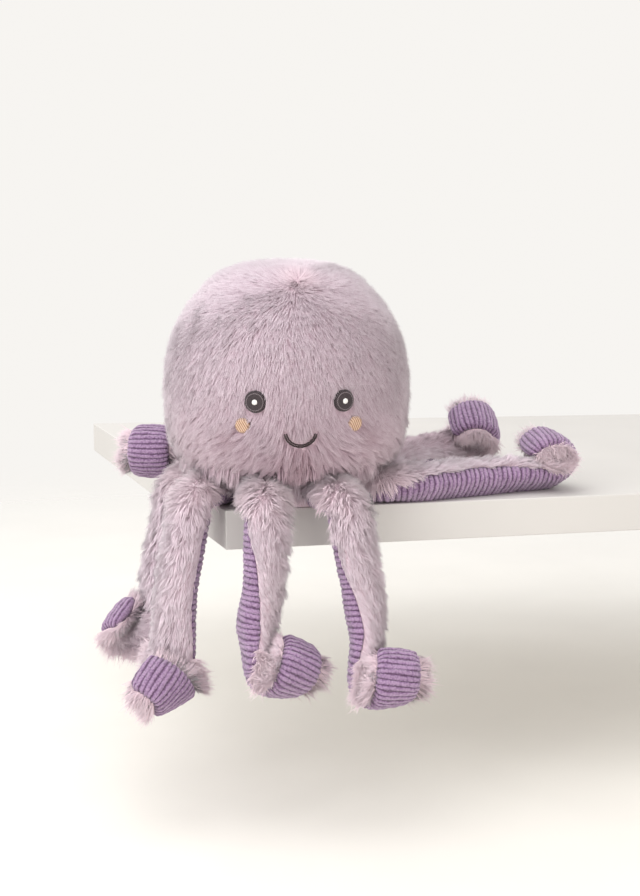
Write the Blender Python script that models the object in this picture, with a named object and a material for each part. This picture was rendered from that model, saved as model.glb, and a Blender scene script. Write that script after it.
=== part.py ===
"""Plush octopus: a round pile-fabric head with eight stuffed tentacles that end in a roll.

Metres, Z up. The face looks along -Y. The origin is the middle of the flat seat under the head.
"""

import math

import bmesh
import bpy
from mathutils import Matrix, Quaternion, Vector

# Fit between pieces that touch.
GAP = 0.0003
SEAT_CLEARANCE = 0.0002
UNDER_HEAD_CLEARANCE = 0.0005

# Head.
HEAD_RADIUS = 0.120
HEAD_TOP = 0.235
HEAD_PLY = 0.008
HEAD_SEGMENTS = 32
SEAT_RADIUS = 0.057
BASE_PLY = 0.004
BASE_CORNER = 0.006
BASE_CORNER_HEIGHT = 0.012

# Outline from the crown to the underside: shares of HEAD_RADIUS, and of the height above the underside.
HEAD_OUTLINE_SHARES = (
    (0.0, 1.0),
    (0.208, 0.995),
    (0.417, 0.972),
    (0.575, 0.927),
    (0.717, 0.842),
    (0.808, 0.774),
    (0.871, 0.714),
    (0.929, 0.638),
    (0.967, 0.563),
    (0.996, 0.448),
    (1.0, 0.362),
    (0.992, 0.272),
    (0.967, 0.192),
    (0.917, 0.111),
    (0.842, 0.049),
    (0.742, 0.009),
    (0.625, 0.0),
)

# Face.
EYE_RADIUS = 0.0099
EYE_TURN = math.radians(20.2)
EYE_HEIGHT = 0.109
EYE_THICKNESS = 0.0026
HIGHLIGHT_RADIUS = 0.0023
HIGHLIGHT_THICKNESS = 0.001
CHEEK_RADIUS = 0.007
CHEEK_TURN = math.radians(26.6)
CHEEK_HEIGHT = 0.0865
CHEEK_THICKNESS = 0.0024
PATCH_SINK = 0.0006
CUTTER_REACH = 0.006
SMILE_RADIUS = 0.0143
SMILE_HALF_ANGLE = math.radians(80)
SMILE_CENTRE_HEIGHT = 0.083
SMILE_THREAD_RADIUS = 0.0015
DISC_SEGMENTS = 20
SMILE_POINTS = 11
SMILE_SIDES = 6

# Tentacles, core first.
ROOT_RADIUS = 0.080
CORE_ROOT_RADIUS = 0.0125
CORE_MIDDLE_HALF_WIDTH = 0.0135
CORE_MIDDLE_HALF_DEPTH = 0.0118
CORE_ROLL_HALF_WIDTH = 0.018
CORE_ROLL_HALF_DEPTH = 0.0075
CORE_TIP_HALF_WIDTH = 0.0145
CORE_TIP_HALF_DEPTH = 0.0055
CORDUROY_PLY = 0.003
PILE_PLY = 0.0065
PLY_SIDE = 0.0042
PILE_PLY_ROLL = 0.0035
PLY_START = 0.002
FOLD_GAP = 0.0004
ROLL_RADIUS = 0.0235
ROLL_TIP_RADIUS = 0.019
ROLL_TURN = math.radians(262)
ROLL_STEPS = 7
FINE_STEPS = 6
LEAN_SHARE = 0.7
TIP_CLOSURE = 0.0032
PATH_REACH = 0.100
SHARP_TURN = 0.45

TENTACLE_TURNS = {
    "tentacle_front_left": -22.5,
    "tentacle_front_right": 22.5,
    "tentacle_right_front": 67.5,
    "tentacle_right_back": 112.5,
    "tentacle_back_right": 157.5,
    "tentacle_back_left": -157.5,
    "tentacle_left_back": -112.5,
    "tentacle_left_front": -67.5,
}

# Each row is a point of the core's middle line, in shares of PATH_REACH with height above the root's
# middle line, and then the direction that the pile side faces there. The first row is the fold.
PATH_SHARES = {
    "tentacle_front_left": (
        (-0.312, -0.917, 0.0, 0.0, 0.0, 1.0),
        (-0.330, -1.086, -0.09, 0.22, -0.63, 0.74),
        (-0.334, -1.156, -0.28, 0.50, -0.83, 0.25),
        (-0.341, -1.176, -0.520, 0.85, -0.52, 0.00),
        (-0.368, -1.174, -0.860, 0.98, -0.18, 0.00),
        (-0.425, -1.185, -1.170, 0.98, 0.16, 0.00),
        (-0.445, -1.218, -1.480, 0.98, 0.02, -0.05),
    ),
    "tentacle_front_right": (
        (0.375, -0.907, 0.0, 0.0, 0.0, 1.0),
        (0.436, -1.056, -0.09, 0.32, -0.59, 0.74),
        (0.468, -1.121, -0.28, 0.44, -0.86, 0.25),
        (0.505, -1.146, -0.520, 0.55, -0.83, 0.00),
        (0.573, -1.165, -0.860, 0.86, -0.51, 0.00),
        (0.600, -1.198, -1.220, 0.98, -0.18, 0.00),
        (0.545, -1.245, -1.605, 0.97, -0.24, 0.05),
    ),
    "tentacle_right_front": (
        (0.909, -0.377, 0.0, 0.0, 0.0, 1.0),
        (1.261, -0.378, 0.0, 0.09, 0.70, 0.71),
        (1.642, -0.246, 0.008, 0.10, 0.79, 0.60),
        (2.022, -0.115, 0.008, 0.10, 0.78, 0.62),
        (2.380, -0.010, -0.004, 0.07, 0.64, 0.77),
        (2.675, 0.050, -0.020, 0.0, 0.48, 0.87),
    ),
    "tentacle_right_back": (
        (0.907, 0.375, 0.0, 0.0, 0.0, 1.0),
        (1.119, 0.760, 0.0, 0.0, 0.0, 1.0),
        (1.335, 1.176, 0.0, 0.0, 0.0, 1.0),
        (1.630, 1.581, 0.0, 0.0, 0.0, 1.0),
        (1.968, 1.849, 0.02, -0.04, -0.30, 0.95),
        (2.284, 1.949, 0.05, -0.005, -0.588, 0.809),
    ),
    "tentacle_back_right": (
        (0.372, 0.909, 0.0, 0.0, 0.0, 1.0),
        (0.540, 1.341, 0.0, 0.0, 0.0, 1.0),
        (0.741, 1.799, 0.0, 0.0, 0.0, 1.0),
        (0.883, 2.264, 0.0, 0.0, 0.0, 1.0),
        (0.906, 2.665, -0.015, 0.0, 0.0, 1.0),
        (0.852, 2.944, -0.048, 0.0, 0.0, 1.0),
    ),
    "tentacle_back_left": (
        (-0.375, 0.907, 0.0, 0.0, 0.0, 1.0),
        (-0.506, 1.216, 0.0, 0.0, 0.0, 1.0),
        (-0.681, 1.572, 0.0, 0.0, 0.0, 1.0),
        (-0.92, 1.800, 0.0, 0.0, 0.0, 1.0),
        (-1.18, 1.676, -0.02, 0.0, 0.0, 1.0),
        (-1.285, 1.340, -0.048, 0.0, 0.0, 1.0),
    ),
    "tentacle_left_back": (
        (-0.889, 0.369, 0.0, 0.0, 0.0, 1.0),
        (-1.044, 0.420, -0.08, -0.71, -0.11, 0.69),
        (-1.114, 0.429, -0.28, -0.94, -0.28, 0.20),
        (-1.157, 0.404, -0.540, -0.92, -0.39, 0.00),
        (-1.237, 0.334, -0.860, -0.94, -0.34, 0.00),
        (-1.282, 0.283, -1.150, -0.97, -0.23, 0.00),
        (-1.295, 0.260, -1.450, -0.98, -0.19, 0.10),
    ),
    "tentacle_left_front": (
        (-0.855, -0.442, 0.0, 0.0, 0.0, 1.0),
        (-0.960, -0.549, -0.09, -0.51, -0.43, 0.74),
        (-0.999, -0.615, -0.28, -0.61, -0.75, 0.26),
        (-1.052, -0.638, -0.540, -0.61, -0.79, 0.00),
        (-1.116, -0.660, -0.900, -0.70, -0.71, 0.00),
        (-1.148, -0.676, -1.260, -0.64, -0.77, 0.00),
        (-1.160, -0.670, -1.470, -0.58, -0.81, 0.00),
        (-1.180, -0.640, -1.660, -0.56, -0.83, -0.05),
    ),
}

# The way that each middle line runs as it enters its roll.
ROLL_ENTRY_SHARES = {
    "tentacle_front_left": (-0.03, 0.0, -1.0),
    "tentacle_front_right": (0.02, -0.03, -0.999),
    "tentacle_right_front": (0.99, 0.12, 0.0),
    "tentacle_right_back": (1.0, -0.009, 0.003),
    "tentacle_back_right": (-0.174, 0.985, 0.0),
    "tentacle_back_left": (-0.326, -0.945, 0.0),
    "tentacle_left_back": (-0.099, 0.013, -0.995),
    "tentacle_left_front": (-0.02, 0.18, -0.98),
}

# The way that each roll's axis leans by its end, for the rolls that wind aside as they go.
ROLL_LEAN_SHARES = {
    "tentacle_right_front": (0.10, -0.95, -0.22),
    "tentacle_front_left": (-0.834, -0.241, 0.497),
    "tentacle_front_right": (-0.985, -0.076, 0.153),
    "tentacle_left_front": (-0.53, -0.576, -0.62),
    "tentacle_left_back": (0.539, 0.637, 0.551),
}

# How loosely the rolls are wound that aren't at full size.
ROLL_SIZE_SHARES = {
    "tentacle_back_left": 0.85,
    "tentacle_right_front": 0.88,
    "tentacle_left_back": 0.93,
}

# Core half width, core half depth and pile ply along a run: share of its length, then the share of the
# way from the root's size to the middle's, and from there to the roll's.
SWELL_SHARES = ((0.0, 0.0, 0.0), (0.3, 1.0, 0.0), (0.62, 1.0, 0.0), (1.0, 1.0, 1.0))

HALF_ROUND_STEPS = 4

PILE_COLOUR = (0.60, 0.47, 0.53, 1.0)
CORDUROY_COLOUR = (0.40, 0.27, 0.49, 1.0)
FILLING_COLOUR = (0.86, 0.85, 0.82, 1.0)
EYE_COLOUR = (0.05, 0.04, 0.045, 1.0)
HIGHLIGHT_COLOUR = (0.92, 0.92, 0.90, 1.0)
CHEEK_COLOUR = (0.80, 0.50, 0.28, 1.0)
SMILE_COLOUR = (0.09, 0.04, 0.05, 1.0)
PILE_ROUGHNESS = 0.95
THREAD_ROUGHNESS = 0.55


def core_height():
    """Height of each root's middle line above the seat."""
    return SEAT_CLEARANCE + CORDUROY_PLY + GAP + CORE_ROOT_RADIUS


def fold_height():
    """Height of the pile side's top at the root, where each tentacle folds."""
    return core_height() + CORE_ROOT_RADIUS + GAP + PILE_PLY


def underside_height():
    return fold_height() + UNDER_HEAD_CLEARANCE


def base_radius():
    return ROOT_RADIUS - CORE_ROOT_RADIUS - GAP


def head_outline():
    """(radius, height) points from the crown down to where the base panel is sewn on."""
    low = underside_height()
    points = [(HEAD_RADIUS * r, low + (HEAD_TOP - low) * h) for r, h in HEAD_OUTLINE_SHARES]
    points.append((base_radius() - BASE_PLY, low))
    return points


def inset(points, depth):
    """The outline moved inward by depth along its normals, with its first point kept on the axis."""
    moved = []
    last = len(points) - 1
    for i, (r, z) in enumerate(points):
        before = points[max(i - 1, 0)]
        after = points[min(i + 1, last)]
        across = Vector((after[0] - before[0], after[1] - before[1])).normalized()
        inward = Vector((across.y, -across.x))
        if i == 0:
            inward = Vector((0.0, -1.0))
        if i == last:
            inward = Vector((0.0, 1.0))
        moved.append((r + depth * inward.x, z + depth * inward.y))
    moved[0] = (0.0, moved[0][1])
    return moved


def make_material(name, colour, roughness):
    material = bpy.data.materials.new(name)
    material.use_nodes = True
    shader = material.node_tree.nodes["Principled BSDF"]
    shader.inputs["Base Color"].default_value = colour
    shader.inputs["Roughness"].default_value = roughness
    shader.inputs["Metallic"].default_value = 0.0
    return material


def add_object(name, mesh, colour, roughness, origin=None):
    """Wraps a finished bmesh as a smooth-shaded object with its origin on its joint."""
    place = Vector(origin) if origin else Vector((0.0, 0.0, 0.0))
    bmesh.ops.recalc_face_normals(mesh, faces=mesh.faces)
    bmesh.ops.translate(mesh, verts=mesh.verts, vec=-place)
    for face in mesh.faces:
        face.smooth = True
    data = bpy.data.meshes.new(name)
    mesh.to_mesh(data)
    mesh.free()
    obj = bpy.data.objects.new(name, data)
    obj.location = place
    bpy.context.scene.collection.objects.link(obj)
    data.materials.append(make_material(name + "_material", colour, roughness))
    return obj


def on_circle(radius, height, turn):
    """A point at this radius and height. Turn 0 is the face's direction, and turns grow to the left hand."""
    return Vector((radius * math.sin(turn), -radius * math.cos(turn), height))


def revolve(mesh, points):
    """A closed solid of revolution from (radius, height) points that start and end on the axis."""
    rings = []
    for r, z in points[1:-1]:
        ring = []
        for i in range(HEAD_SEGMENTS):
            turn = 2 * math.pi * i / HEAD_SEGMENTS
            ring.append(mesh.verts.new(on_circle(r, z, turn)))
        rings.append(ring)
    first = mesh.verts.new((0.0, 0.0, points[0][1]))
    last = mesh.verts.new((0.0, 0.0, points[-1][1]))
    for i in range(HEAD_SEGMENTS):
        j = (i + 1) % HEAD_SEGMENTS
        mesh.faces.new((first, rings[0][i], rings[0][j]))
        mesh.faces.new((last, rings[-1][j], rings[-1][i]))
        for upper, lower in zip(rings, rings[1:]):
            mesh.faces.new((upper[i], lower[i], lower[j], upper[j]))


def half_shell(mesh, outer, inner, middle_turn):
    """Half of a head shell between two outlines, with its middle at this turn."""
    steps = HEAD_SEGMENTS // 2
    grids = []
    for points in (outer, inner):
        crown = mesh.verts.new((0.0, 0.0, points[0][1]))
        columns = []
        for i in range(steps + 1):
            turn = middle_turn - math.pi / 2 + math.pi * i / steps
            columns.append([crown] + [mesh.verts.new(on_circle(r, z, turn)) for r, z in points[1:]])
        for left, right in zip(columns, columns[1:]):
            mesh.faces.new((crown, left[1], right[1]))
            for k in range(1, len(points) - 1):
                mesh.faces.new((left[k], left[k + 1], right[k + 1], right[k]))
        grids.append(columns)
    outside, inside = grids
    for side in (0, -1):
        for k in range(len(outer) - 1):
            mesh.faces.new((outside[side][k], outside[side][k + 1], inside[side][k + 1], inside[side][k]))
    for i in range(steps):
        mesh.faces.new((outside[i][-1], outside[i + 1][-1], inside[i + 1][-1], inside[i][-1]))
    forward = on_circle(GAP / 2, 0.0, middle_turn)
    bmesh.ops.translate(mesh, verts=mesh.verts, vec=forward)


def build_head_panel(name, middle_turn):
    mesh = bmesh.new()
    outer = head_outline()
    half_shell(mesh, outer, inset(outer, HEAD_PLY), middle_turn)
    return add_object(name, mesh, PILE_COLOUR, PILE_ROUGHNESS)


def build_base_panel():
    """A shallow cup: its flat floor is the seat, and its rim meets the head panels."""
    mesh = bmesh.new()
    radius = base_radius()
    rim = underside_height() - GAP
    outside = [
        (0.0, 0.0),
        (SEAT_RADIUS, 0.0),
        (radius - BASE_CORNER / 2, BASE_CORNER_HEIGHT / 3),
        (radius, BASE_CORNER_HEIGHT),
        (radius, rim),
    ]
    inside = [
        (radius - BASE_PLY, rim),
        (radius - BASE_PLY, BASE_CORNER_HEIGHT + BASE_PLY / 2),
        (SEAT_RADIUS - BASE_PLY / 2, BASE_PLY),
        (0.0, BASE_PLY),
    ]
    revolve(mesh, outside + inside)
    return add_object("base_panel", mesh, PILE_COLOUR, PILE_ROUGHNESS)


def build_head_filling():
    mesh = bmesh.new()
    radius = base_radius() - BASE_PLY - GAP
    crown_down = inset(head_outline(), HEAD_PLY + GAP)[:-1]
    crown_down.append((radius, crown_down[-1][1]))
    below = [
        (radius, BASE_CORNER_HEIGHT + BASE_PLY / 2 + GAP),
        (SEAT_RADIUS - BASE_PLY / 2 - GAP, BASE_PLY + GAP),
        (0.0, BASE_PLY + GAP),
    ]
    revolve(mesh, crown_down + below)
    return add_object("head_filling", mesh, FILLING_COLOUR, PILE_ROUGHNESS)


def outline_at(height):
    """Radius and outward slope direction (radial, up) of the head's side at this height."""
    points = head_outline()
    for (r0, z0), (r1, z1) in zip(points, points[1:]):
        if z1 <= height <= z0:
            share = (height - z1) / (z0 - z1)
            down = Vector((r1 - r0, z1 - z0)).normalized()
            return r1 + share * (r0 - r1), Vector((-down.y, down.x))
    return HEAD_RADIUS, Vector((1.0, 0.0))


def face_frame(turn, height):
    """A frame on the head's side: X across, Y up the side, Z outward."""
    radius, slope = outline_at(height)
    outward = on_circle(slope.x, slope.y, turn)
    across = outward.cross(Vector((0.0, 0.0, 1.0))).normalized() * -1
    up = outward.cross(across)
    frame = Matrix((across, up, outward)).transposed().to_4x4()
    frame.translation = on_circle(radius * math.cos(math.pi / HEAD_SEGMENTS / 2), height, turn)
    return frame


def disc(mesh, frame, radius, low, high):
    """A disc along a frame's Z from low to high."""
    rings = []
    for z in (low, high):
        ring = []
        for i in range(DISC_SEGMENTS):
            turn = 2 * math.pi * i / DISC_SEGMENTS
            x = radius * math.cos(turn)
            y = radius * math.sin(turn)
            ring.append(mesh.verts.new(frame @ Vector((x, y, z))))
        rings.append(ring)
    back = mesh.verts.new(frame @ Vector((0.0, 0.0, low)))
    front = mesh.verts.new(frame @ Vector((0.0, 0.0, high)))
    for i in range(DISC_SEGMENTS):
        j = (i + 1) % DISC_SEGMENTS
        mesh.faces.new((back, rings[0][j], rings[0][i]))
        mesh.faces.new((front, rings[1][i], rings[1][j]))
        mesh.faces.new((rings[0][i], rings[0][j], rings[1][j], rings[1][i]))


def cut_from(target, name, mesh):
    """Cuts a mesh out of a target with an exact Boolean."""
    bmesh.ops.recalc_face_normals(mesh, faces=mesh.faces)
    data = bpy.data.meshes.new(name)
    mesh.to_mesh(data)
    mesh.free()
    cutter = bpy.data.objects.new(name, data)
    cutter.hide_render = True
    cutter.display_type = "WIRE"
    bpy.context.scene.collection.objects.link(cutter)
    modifier = target.modifiers.new(name, "BOOLEAN")
    modifier.operation = "DIFFERENCE"
    modifier.solver = "EXACT"
    modifier.object = cutter


def build_patch(panel, name, turn, height, radius, thickness, colour):
    """An embroidered round patch, let into the head's front panel."""
    frame = face_frame(turn, height)
    mesh = bmesh.new()
    disc(mesh, frame, radius, -PATCH_SINK - thickness, -PATCH_SINK)
    patch = add_object(name, mesh, colour, THREAD_ROUGHNESS)
    pocket = bmesh.new()
    disc(pocket, frame, radius + GAP, -PATCH_SINK - thickness - GAP, CUTTER_REACH)
    cut_from(panel, name + "_pocket", pocket)
    return patch


def build_highlight(name, turn):
    """The white stitches at the middle of an eye."""
    frame = face_frame(turn, EYE_HEIGHT)
    mesh = bmesh.new()
    low = -PATCH_SINK + GAP
    disc(mesh, frame, HIGHLIGHT_RADIUS, low, low + HIGHLIGHT_THICKNESS)
    return add_object(name, mesh, HIGHLIGHT_COLOUR, THREAD_ROUGHNESS)


def smile_tube(mesh, thread_radius, past_ends):
    """A round thread along the smile's arc, laid on the head's side."""
    rings = []
    stretch = past_ends / SMILE_RADIUS
    for i in range(SMILE_POINTS):
        share = 2 * i / (SMILE_POINTS - 1) - 1
        angle = share * (SMILE_HALF_ANGLE + stretch)
        height = SMILE_CENTRE_HEIGHT - SMILE_RADIUS * math.cos(angle)
        radius, _ = outline_at(height)
        turn = SMILE_RADIUS * math.sin(angle) / radius
        frame = face_frame(turn, height)
        across = frame.col[0].xyz * math.sin(angle) - frame.col[1].xyz * math.cos(angle)
        outward = frame.col[2].xyz
        ring = []
        for k in range(SMILE_SIDES):
            around = 2 * math.pi * k / SMILE_SIDES
            offset = across * math.cos(around) + outward * math.sin(around)
            ring.append(mesh.verts.new(frame.translation + thread_radius * offset))
        rings.append(ring)
    for before, after in zip(rings, rings[1:]):
        for k in range(SMILE_SIDES):
            n = (k + 1) % SMILE_SIDES
            mesh.faces.new((before[k], before[n], after[n], after[k]))
    mesh.faces.new(rings[0])
    mesh.faces.new(rings[-1])


def build_smile(panel):
    mesh = bmesh.new()
    smile_tube(mesh, SMILE_THREAD_RADIUS, 0.0)
    smile = add_object("smile", mesh, SMILE_COLOUR, THREAD_ROUGHNESS)
    pocket = bmesh.new()
    smile_tube(pocket, SMILE_THREAD_RADIUS + GAP, GAP)
    cut_from(panel, "smile_pocket", pocket)
    return smile


class Station:
    """One cross-section of a tentacle: its middle, its frame, and the sizes of its core and plies."""

    def __init__(self, middle, along, pile_side, half_width, half_depth, pile):
        self.middle = middle
        self.along = along.normalized()
        side = pile_side - self.along * pile_side.dot(self.along)
        self.up = side.normalized()
        self.across = self.along.cross(self.up)
        self.half_width = half_width
        self.half_depth = half_depth
        self.pile = pile

    def moved(self, distance, scale=1.0):
        """This section carried on straight, and scaled."""
        return Station(
            self.middle + self.along * distance,
            self.along,
            self.up,
            self.half_width * scale,
            self.half_depth * scale,
            self.pile,
        )

    def point(self, across, up):
        return self.middle + self.across * across + self.up * up

    def arc(self, half_width, half_depth, side, lift):
        """Points of a half round on one side, from one seam to the other, lifted off the seam's plane."""
        points = []
        for i in range(HALF_ROUND_STEPS + 1):
            turn = math.pi * i / HALF_ROUND_STEPS
            up = max(half_depth * math.sin(turn), lift)
            points.append(self.point(side * half_width * math.cos(turn), side * up))
        return points

    def core_ring(self):
        points = []
        for i in range(2 * HALF_ROUND_STEPS):
            turn = math.pi * i / HALF_ROUND_STEPS
            points.append(self.point(self.half_width * math.cos(turn), self.half_depth * math.sin(turn)))
        return points

    def ply_ring(self, is_pile, closed=False):
        """The section of one ply. A closed one is filled to the seam's plane, and closes a tip."""
        side = 1 if is_pile else -1
        depth = self.pile if is_pile else CORDUROY_PLY
        inner_width = self.half_width + GAP
        inner_depth = self.half_depth + GAP
        outer = self.arc(inner_width + PLY_SIDE, inner_depth + depth, side, GAP / 2)
        inner = self.arc(inner_width, 0.0 if closed else inner_depth, side, GAP / 2)
        return outer + inner[::-1]


def split_quad(mesh, low_near, high_near, high_far, low_far):
    """Two triangles whose shared edge always climbs the same way round, so that nested skins stay nested."""
    mesh.faces.new((low_near, high_near, high_far))
    mesh.faces.new((low_near, high_far, low_far))


def loft(mesh, rings, start=None, end=None):
    """Joins rings of points into one closed body. Start and end are points that close it, or it is a ply."""
    made = [[mesh.verts.new(p) for p in ring] for ring in rings]
    count = len(made[0])
    is_ply = start is None
    for before, after in zip(made, made[1:]):
        for k in range(count):
            n = (k + 1) % count
            if is_ply and k >= count // 2:
                split_quad(mesh, before[n], before[k], after[k], after[n])
            else:
                split_quad(mesh, before[k], before[n], after[n], after[k])
    if is_ply:
        for ring in (made[0], made[-1]):
            for k in range(count // 2 - 1):
                mesh.faces.new((ring[k], ring[k + 1], ring[count - 2 - k], ring[count - 1 - k]))
        return
    for ring, point in ((made[0], start), (made[-1], end)):
        tip = mesh.verts.new(point)
        for k in range(count):
            mesh.faces.new((ring[k], ring[(k + 1) % count], tip))


def mix(a, b, share):
    return a + (b - a) * share


def spline(p0, p1, p2, p3, t):
    """A smooth curve from p1 to p2 that leaves and enters along its neighbours."""
    return 0.5 * (
        2 * p1
        + (p2 - p0) * t
        + (2 * p0 - 5 * p1 + 4 * p2 - p3) * t**2
        + (3 * p1 - p0 - 3 * p2 + p3) * t**3
    )


def swell_at(share):
    """Core half width, core half depth and pile ply at this share of a run."""
    for low, high in zip(SWELL_SHARES, SWELL_SHARES[1:]):
        if share <= high[0]:
            part = (share - low[0]) / (high[0] - low[0])
            to_middle = mix(low[1], high[1], part)
            to_roll = mix(low[2], high[2], part)
            break
    width = mix(CORE_ROOT_RADIUS, CORE_MIDDLE_HALF_WIDTH, to_middle)
    depth = mix(CORE_ROOT_RADIUS, CORE_MIDDLE_HALF_DEPTH, to_middle)
    width = mix(width, CORE_ROLL_HALF_WIDTH, to_roll)
    depth = mix(depth, CORE_ROLL_HALF_DEPTH, to_roll)
    return width, depth, mix(PILE_PLY, PILE_PLY_ROLL, to_roll)


def path_rows(name):
    """Points of the middle line, and the directions that the pile side faces at them."""
    points = []
    sides = []
    for x, y, z, a, b, c in PATH_SHARES[name]:
        points.append(Vector((x * PATH_REACH, y * PATH_REACH, core_height() + z * PATH_REACH)))
        sides.append(Vector((a, b, c)).normalized())
    return points, sides


def root_point(name):
    return on_circle(ROOT_RADIUS, core_height(), math.radians(TENTACLE_TURNS[name]))


def heading(name):
    """Level direction from the root to the fold."""
    points, _ = path_rows(name)
    return (points[0] - root_point(name)).normalized()


def run_stations(name):
    """Sections from the fold to the roll's end."""
    points, sides = path_rows(name)
    entry = Vector(ROLL_ENTRY_SHARES[name]).normalized()
    steps = [(a - b).length for a, b in zip(points[1:], points)]
    before = points[0] - heading(name) * steps[0]
    after = points[-1] + entry * steps[-1]
    padded = [before] + points + [after]
    whole = sum(steps)
    stations = []
    travelled = 0.0
    for k, step in enumerate(steps):
        p0, p1, p2, p3 = padded[k : k + 4]
        bend = max((p2 - p0).angle(p3 - p1), sides[k].angle(sides[k + 1]))
        count = 1 + (bend > SHARP_TURN) + (bend > 2 * SHARP_TURN)
        for i in range(count):
            t = i / count
            ahead = spline(p0, p1, p2, p3, t + 0.02) - spline(p0, p1, p2, p3, t)
            side = sides[k].lerp(sides[k + 1], t)
            sizes = swell_at((travelled + t * step) / whole)
            stations.append(Station(spline(p0, p1, p2, p3, t), ahead, side, *sizes))
        travelled += step
    stations[0] = Station(points[0], heading(name), sides[0], *swell_at(0.0))
    return stations + roll_stations(name, points[-1], entry, sides[-1])


def roll_stations(name, start, entry, side):
    """Sections of the rolled end, which winds in a little as it goes."""
    inward = (side - entry * side.dot(entry)).normalized()
    first_axis = entry.cross(inward)
    last_axis = Vector(ROLL_LEAN_SHARES.get(name, first_axis)).normalized()
    middle = start.copy()
    along = entry.copy()
    stations = []
    step = ROLL_TURN / (ROLL_STEPS * FINE_STEPS)
    size = ROLL_SIZE_SHARES.get(name, 1.0)
    for i in range(ROLL_STEPS * FINE_STEPS + 1):
        share = i / (ROLL_STEPS * FINE_STEPS)
        axis = first_axis.slerp(last_axis, min(share / LEAN_SHARE, 1.0))
        along = (along - axis * along.dot(axis)).normalized()
        if i % FINE_STEPS == 0:
            late = max(share - 0.5, 0.0) * 2
            width = mix(CORE_ROLL_HALF_WIDTH, CORE_TIP_HALF_WIDTH, late)
            depth = mix(CORE_ROLL_HALF_DEPTH, CORE_TIP_HALF_DEPTH, share)
            stations.append(Station(middle.copy(), along, axis.cross(along), width, depth, PILE_PLY_ROLL))
        halfway = Quaternion(axis, step / 2) @ along
        middle += halfway * step * size * mix(ROLL_RADIUS, ROLL_TIP_RADIUS, share)
        along = Quaternion(axis, step) @ along
    return stations


def build_run(name):
    """The long part of a tentacle, from the fold to the end of its roll."""
    stations = run_stations(name)
    first = stations[0].moved(FOLD_GAP / 2)
    body = [first] + stations[1:]
    last = body[-1]
    wall = last.moved(2 * GAP)
    closing = last.moved(4 * GAP)
    tip = last.moved(TIP_CLOSURE, 0.72)
    fold = (stations[0].middle.x, stations[0].middle.y, fold_height())
    for is_pile, suffix, colour in (
        (True, "_run_pile", PILE_COLOUR),
        (False, "_run_corduroy", CORDUROY_COLOUR),
    ):
        rings = [s.ply_ring(is_pile) for s in body + [wall]]
        rings += [s.ply_ring(is_pile, True) for s in (closing, tip)]
        mesh = bmesh.new()
        loft(mesh, rings)
        add_object(name + suffix, mesh, colour, PILE_ROUGHNESS, fold)
    mesh = bmesh.new()
    loft(mesh, [s.core_ring() for s in body], first.middle, last.middle)
    add_object(name + "_run_filling", mesh, FILLING_COLOUR, PILE_ROUGHNESS, fold)


def build_root(name):
    """The short part of a tentacle under the head's edge. Its filling ends in a dome on the swing axis."""
    root = root_point(name)
    along = heading(name)
    up = Vector((0.0, 0.0, 1.0))
    sizes = swell_at(0.0)
    length = (path_rows(name)[0][0] - root).length
    start = Station(root, along, up, *sizes)
    end = start.moved(length - FOLD_GAP / 2)
    for is_pile, suffix, colour in (
        (True, "_root_pile", PILE_COLOUR),
        (False, "_root_corduroy", CORDUROY_COLOUR),
    ):
        mesh = bmesh.new()
        loft(mesh, [s.ply_ring(is_pile) for s in (start.moved(PLY_START), end)])
        add_object(name + suffix, mesh, colour, PILE_ROUGHNESS, root)
    dome = []
    for degrees in (60, 30):
        turn = math.radians(degrees)
        dome.append(start.moved(-CORE_ROOT_RADIUS * math.sin(turn), math.cos(turn)))
    mesh = bmesh.new()
    pole = root - along * CORE_ROOT_RADIUS
    loft(mesh, [s.core_ring() for s in dome + [start, end]], pole, end.middle)
    add_object(name + "_root_filling", mesh, FILLING_COLOUR, PILE_ROUGHNESS, root)


def clear_scene():
    for obj in list(bpy.data.objects):
        bpy.data.objects.remove(obj, do_unlink=True)


def build_face(panel):
    for side, sign in (("left", -1), ("right", 1)):
        turn = sign * EYE_TURN
        build_patch(panel, "eye_" + side, turn, EYE_HEIGHT, EYE_RADIUS, EYE_THICKNESS, EYE_COLOUR)
        build_highlight("eye_highlight_" + side, turn)
        turn = sign * CHEEK_TURN
        build_patch(
            panel, "cheek_" + side, turn, CHEEK_HEIGHT, CHEEK_RADIUS, CHEEK_THICKNESS, CHEEK_COLOUR
        )
    build_smile(panel)


def main():
    clear_scene()
    front = build_head_panel("head_front_panel", 0.0)
    build_head_panel("head_back_panel", math.pi)
    build_base_panel()
    build_head_filling()
    build_face(front)
    for name in TENTACLE_TURNS:
        build_root(name)
        build_run(name)


main()
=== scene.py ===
"""Looks of the plush octopus: long pile, corduroy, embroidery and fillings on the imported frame.

Metres, Z up. The face looks along -Y. Each tentacle's cloth follows the same middle line as its solids.
"""
import logging
import math
from dataclasses import dataclass, field
from enum import Enum
from typing import Callable, Sequence

import bmesh
import bpy
import numpy as np
from mathutils import Matrix, Vector
from mathutils.kdtree import KDTree


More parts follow.
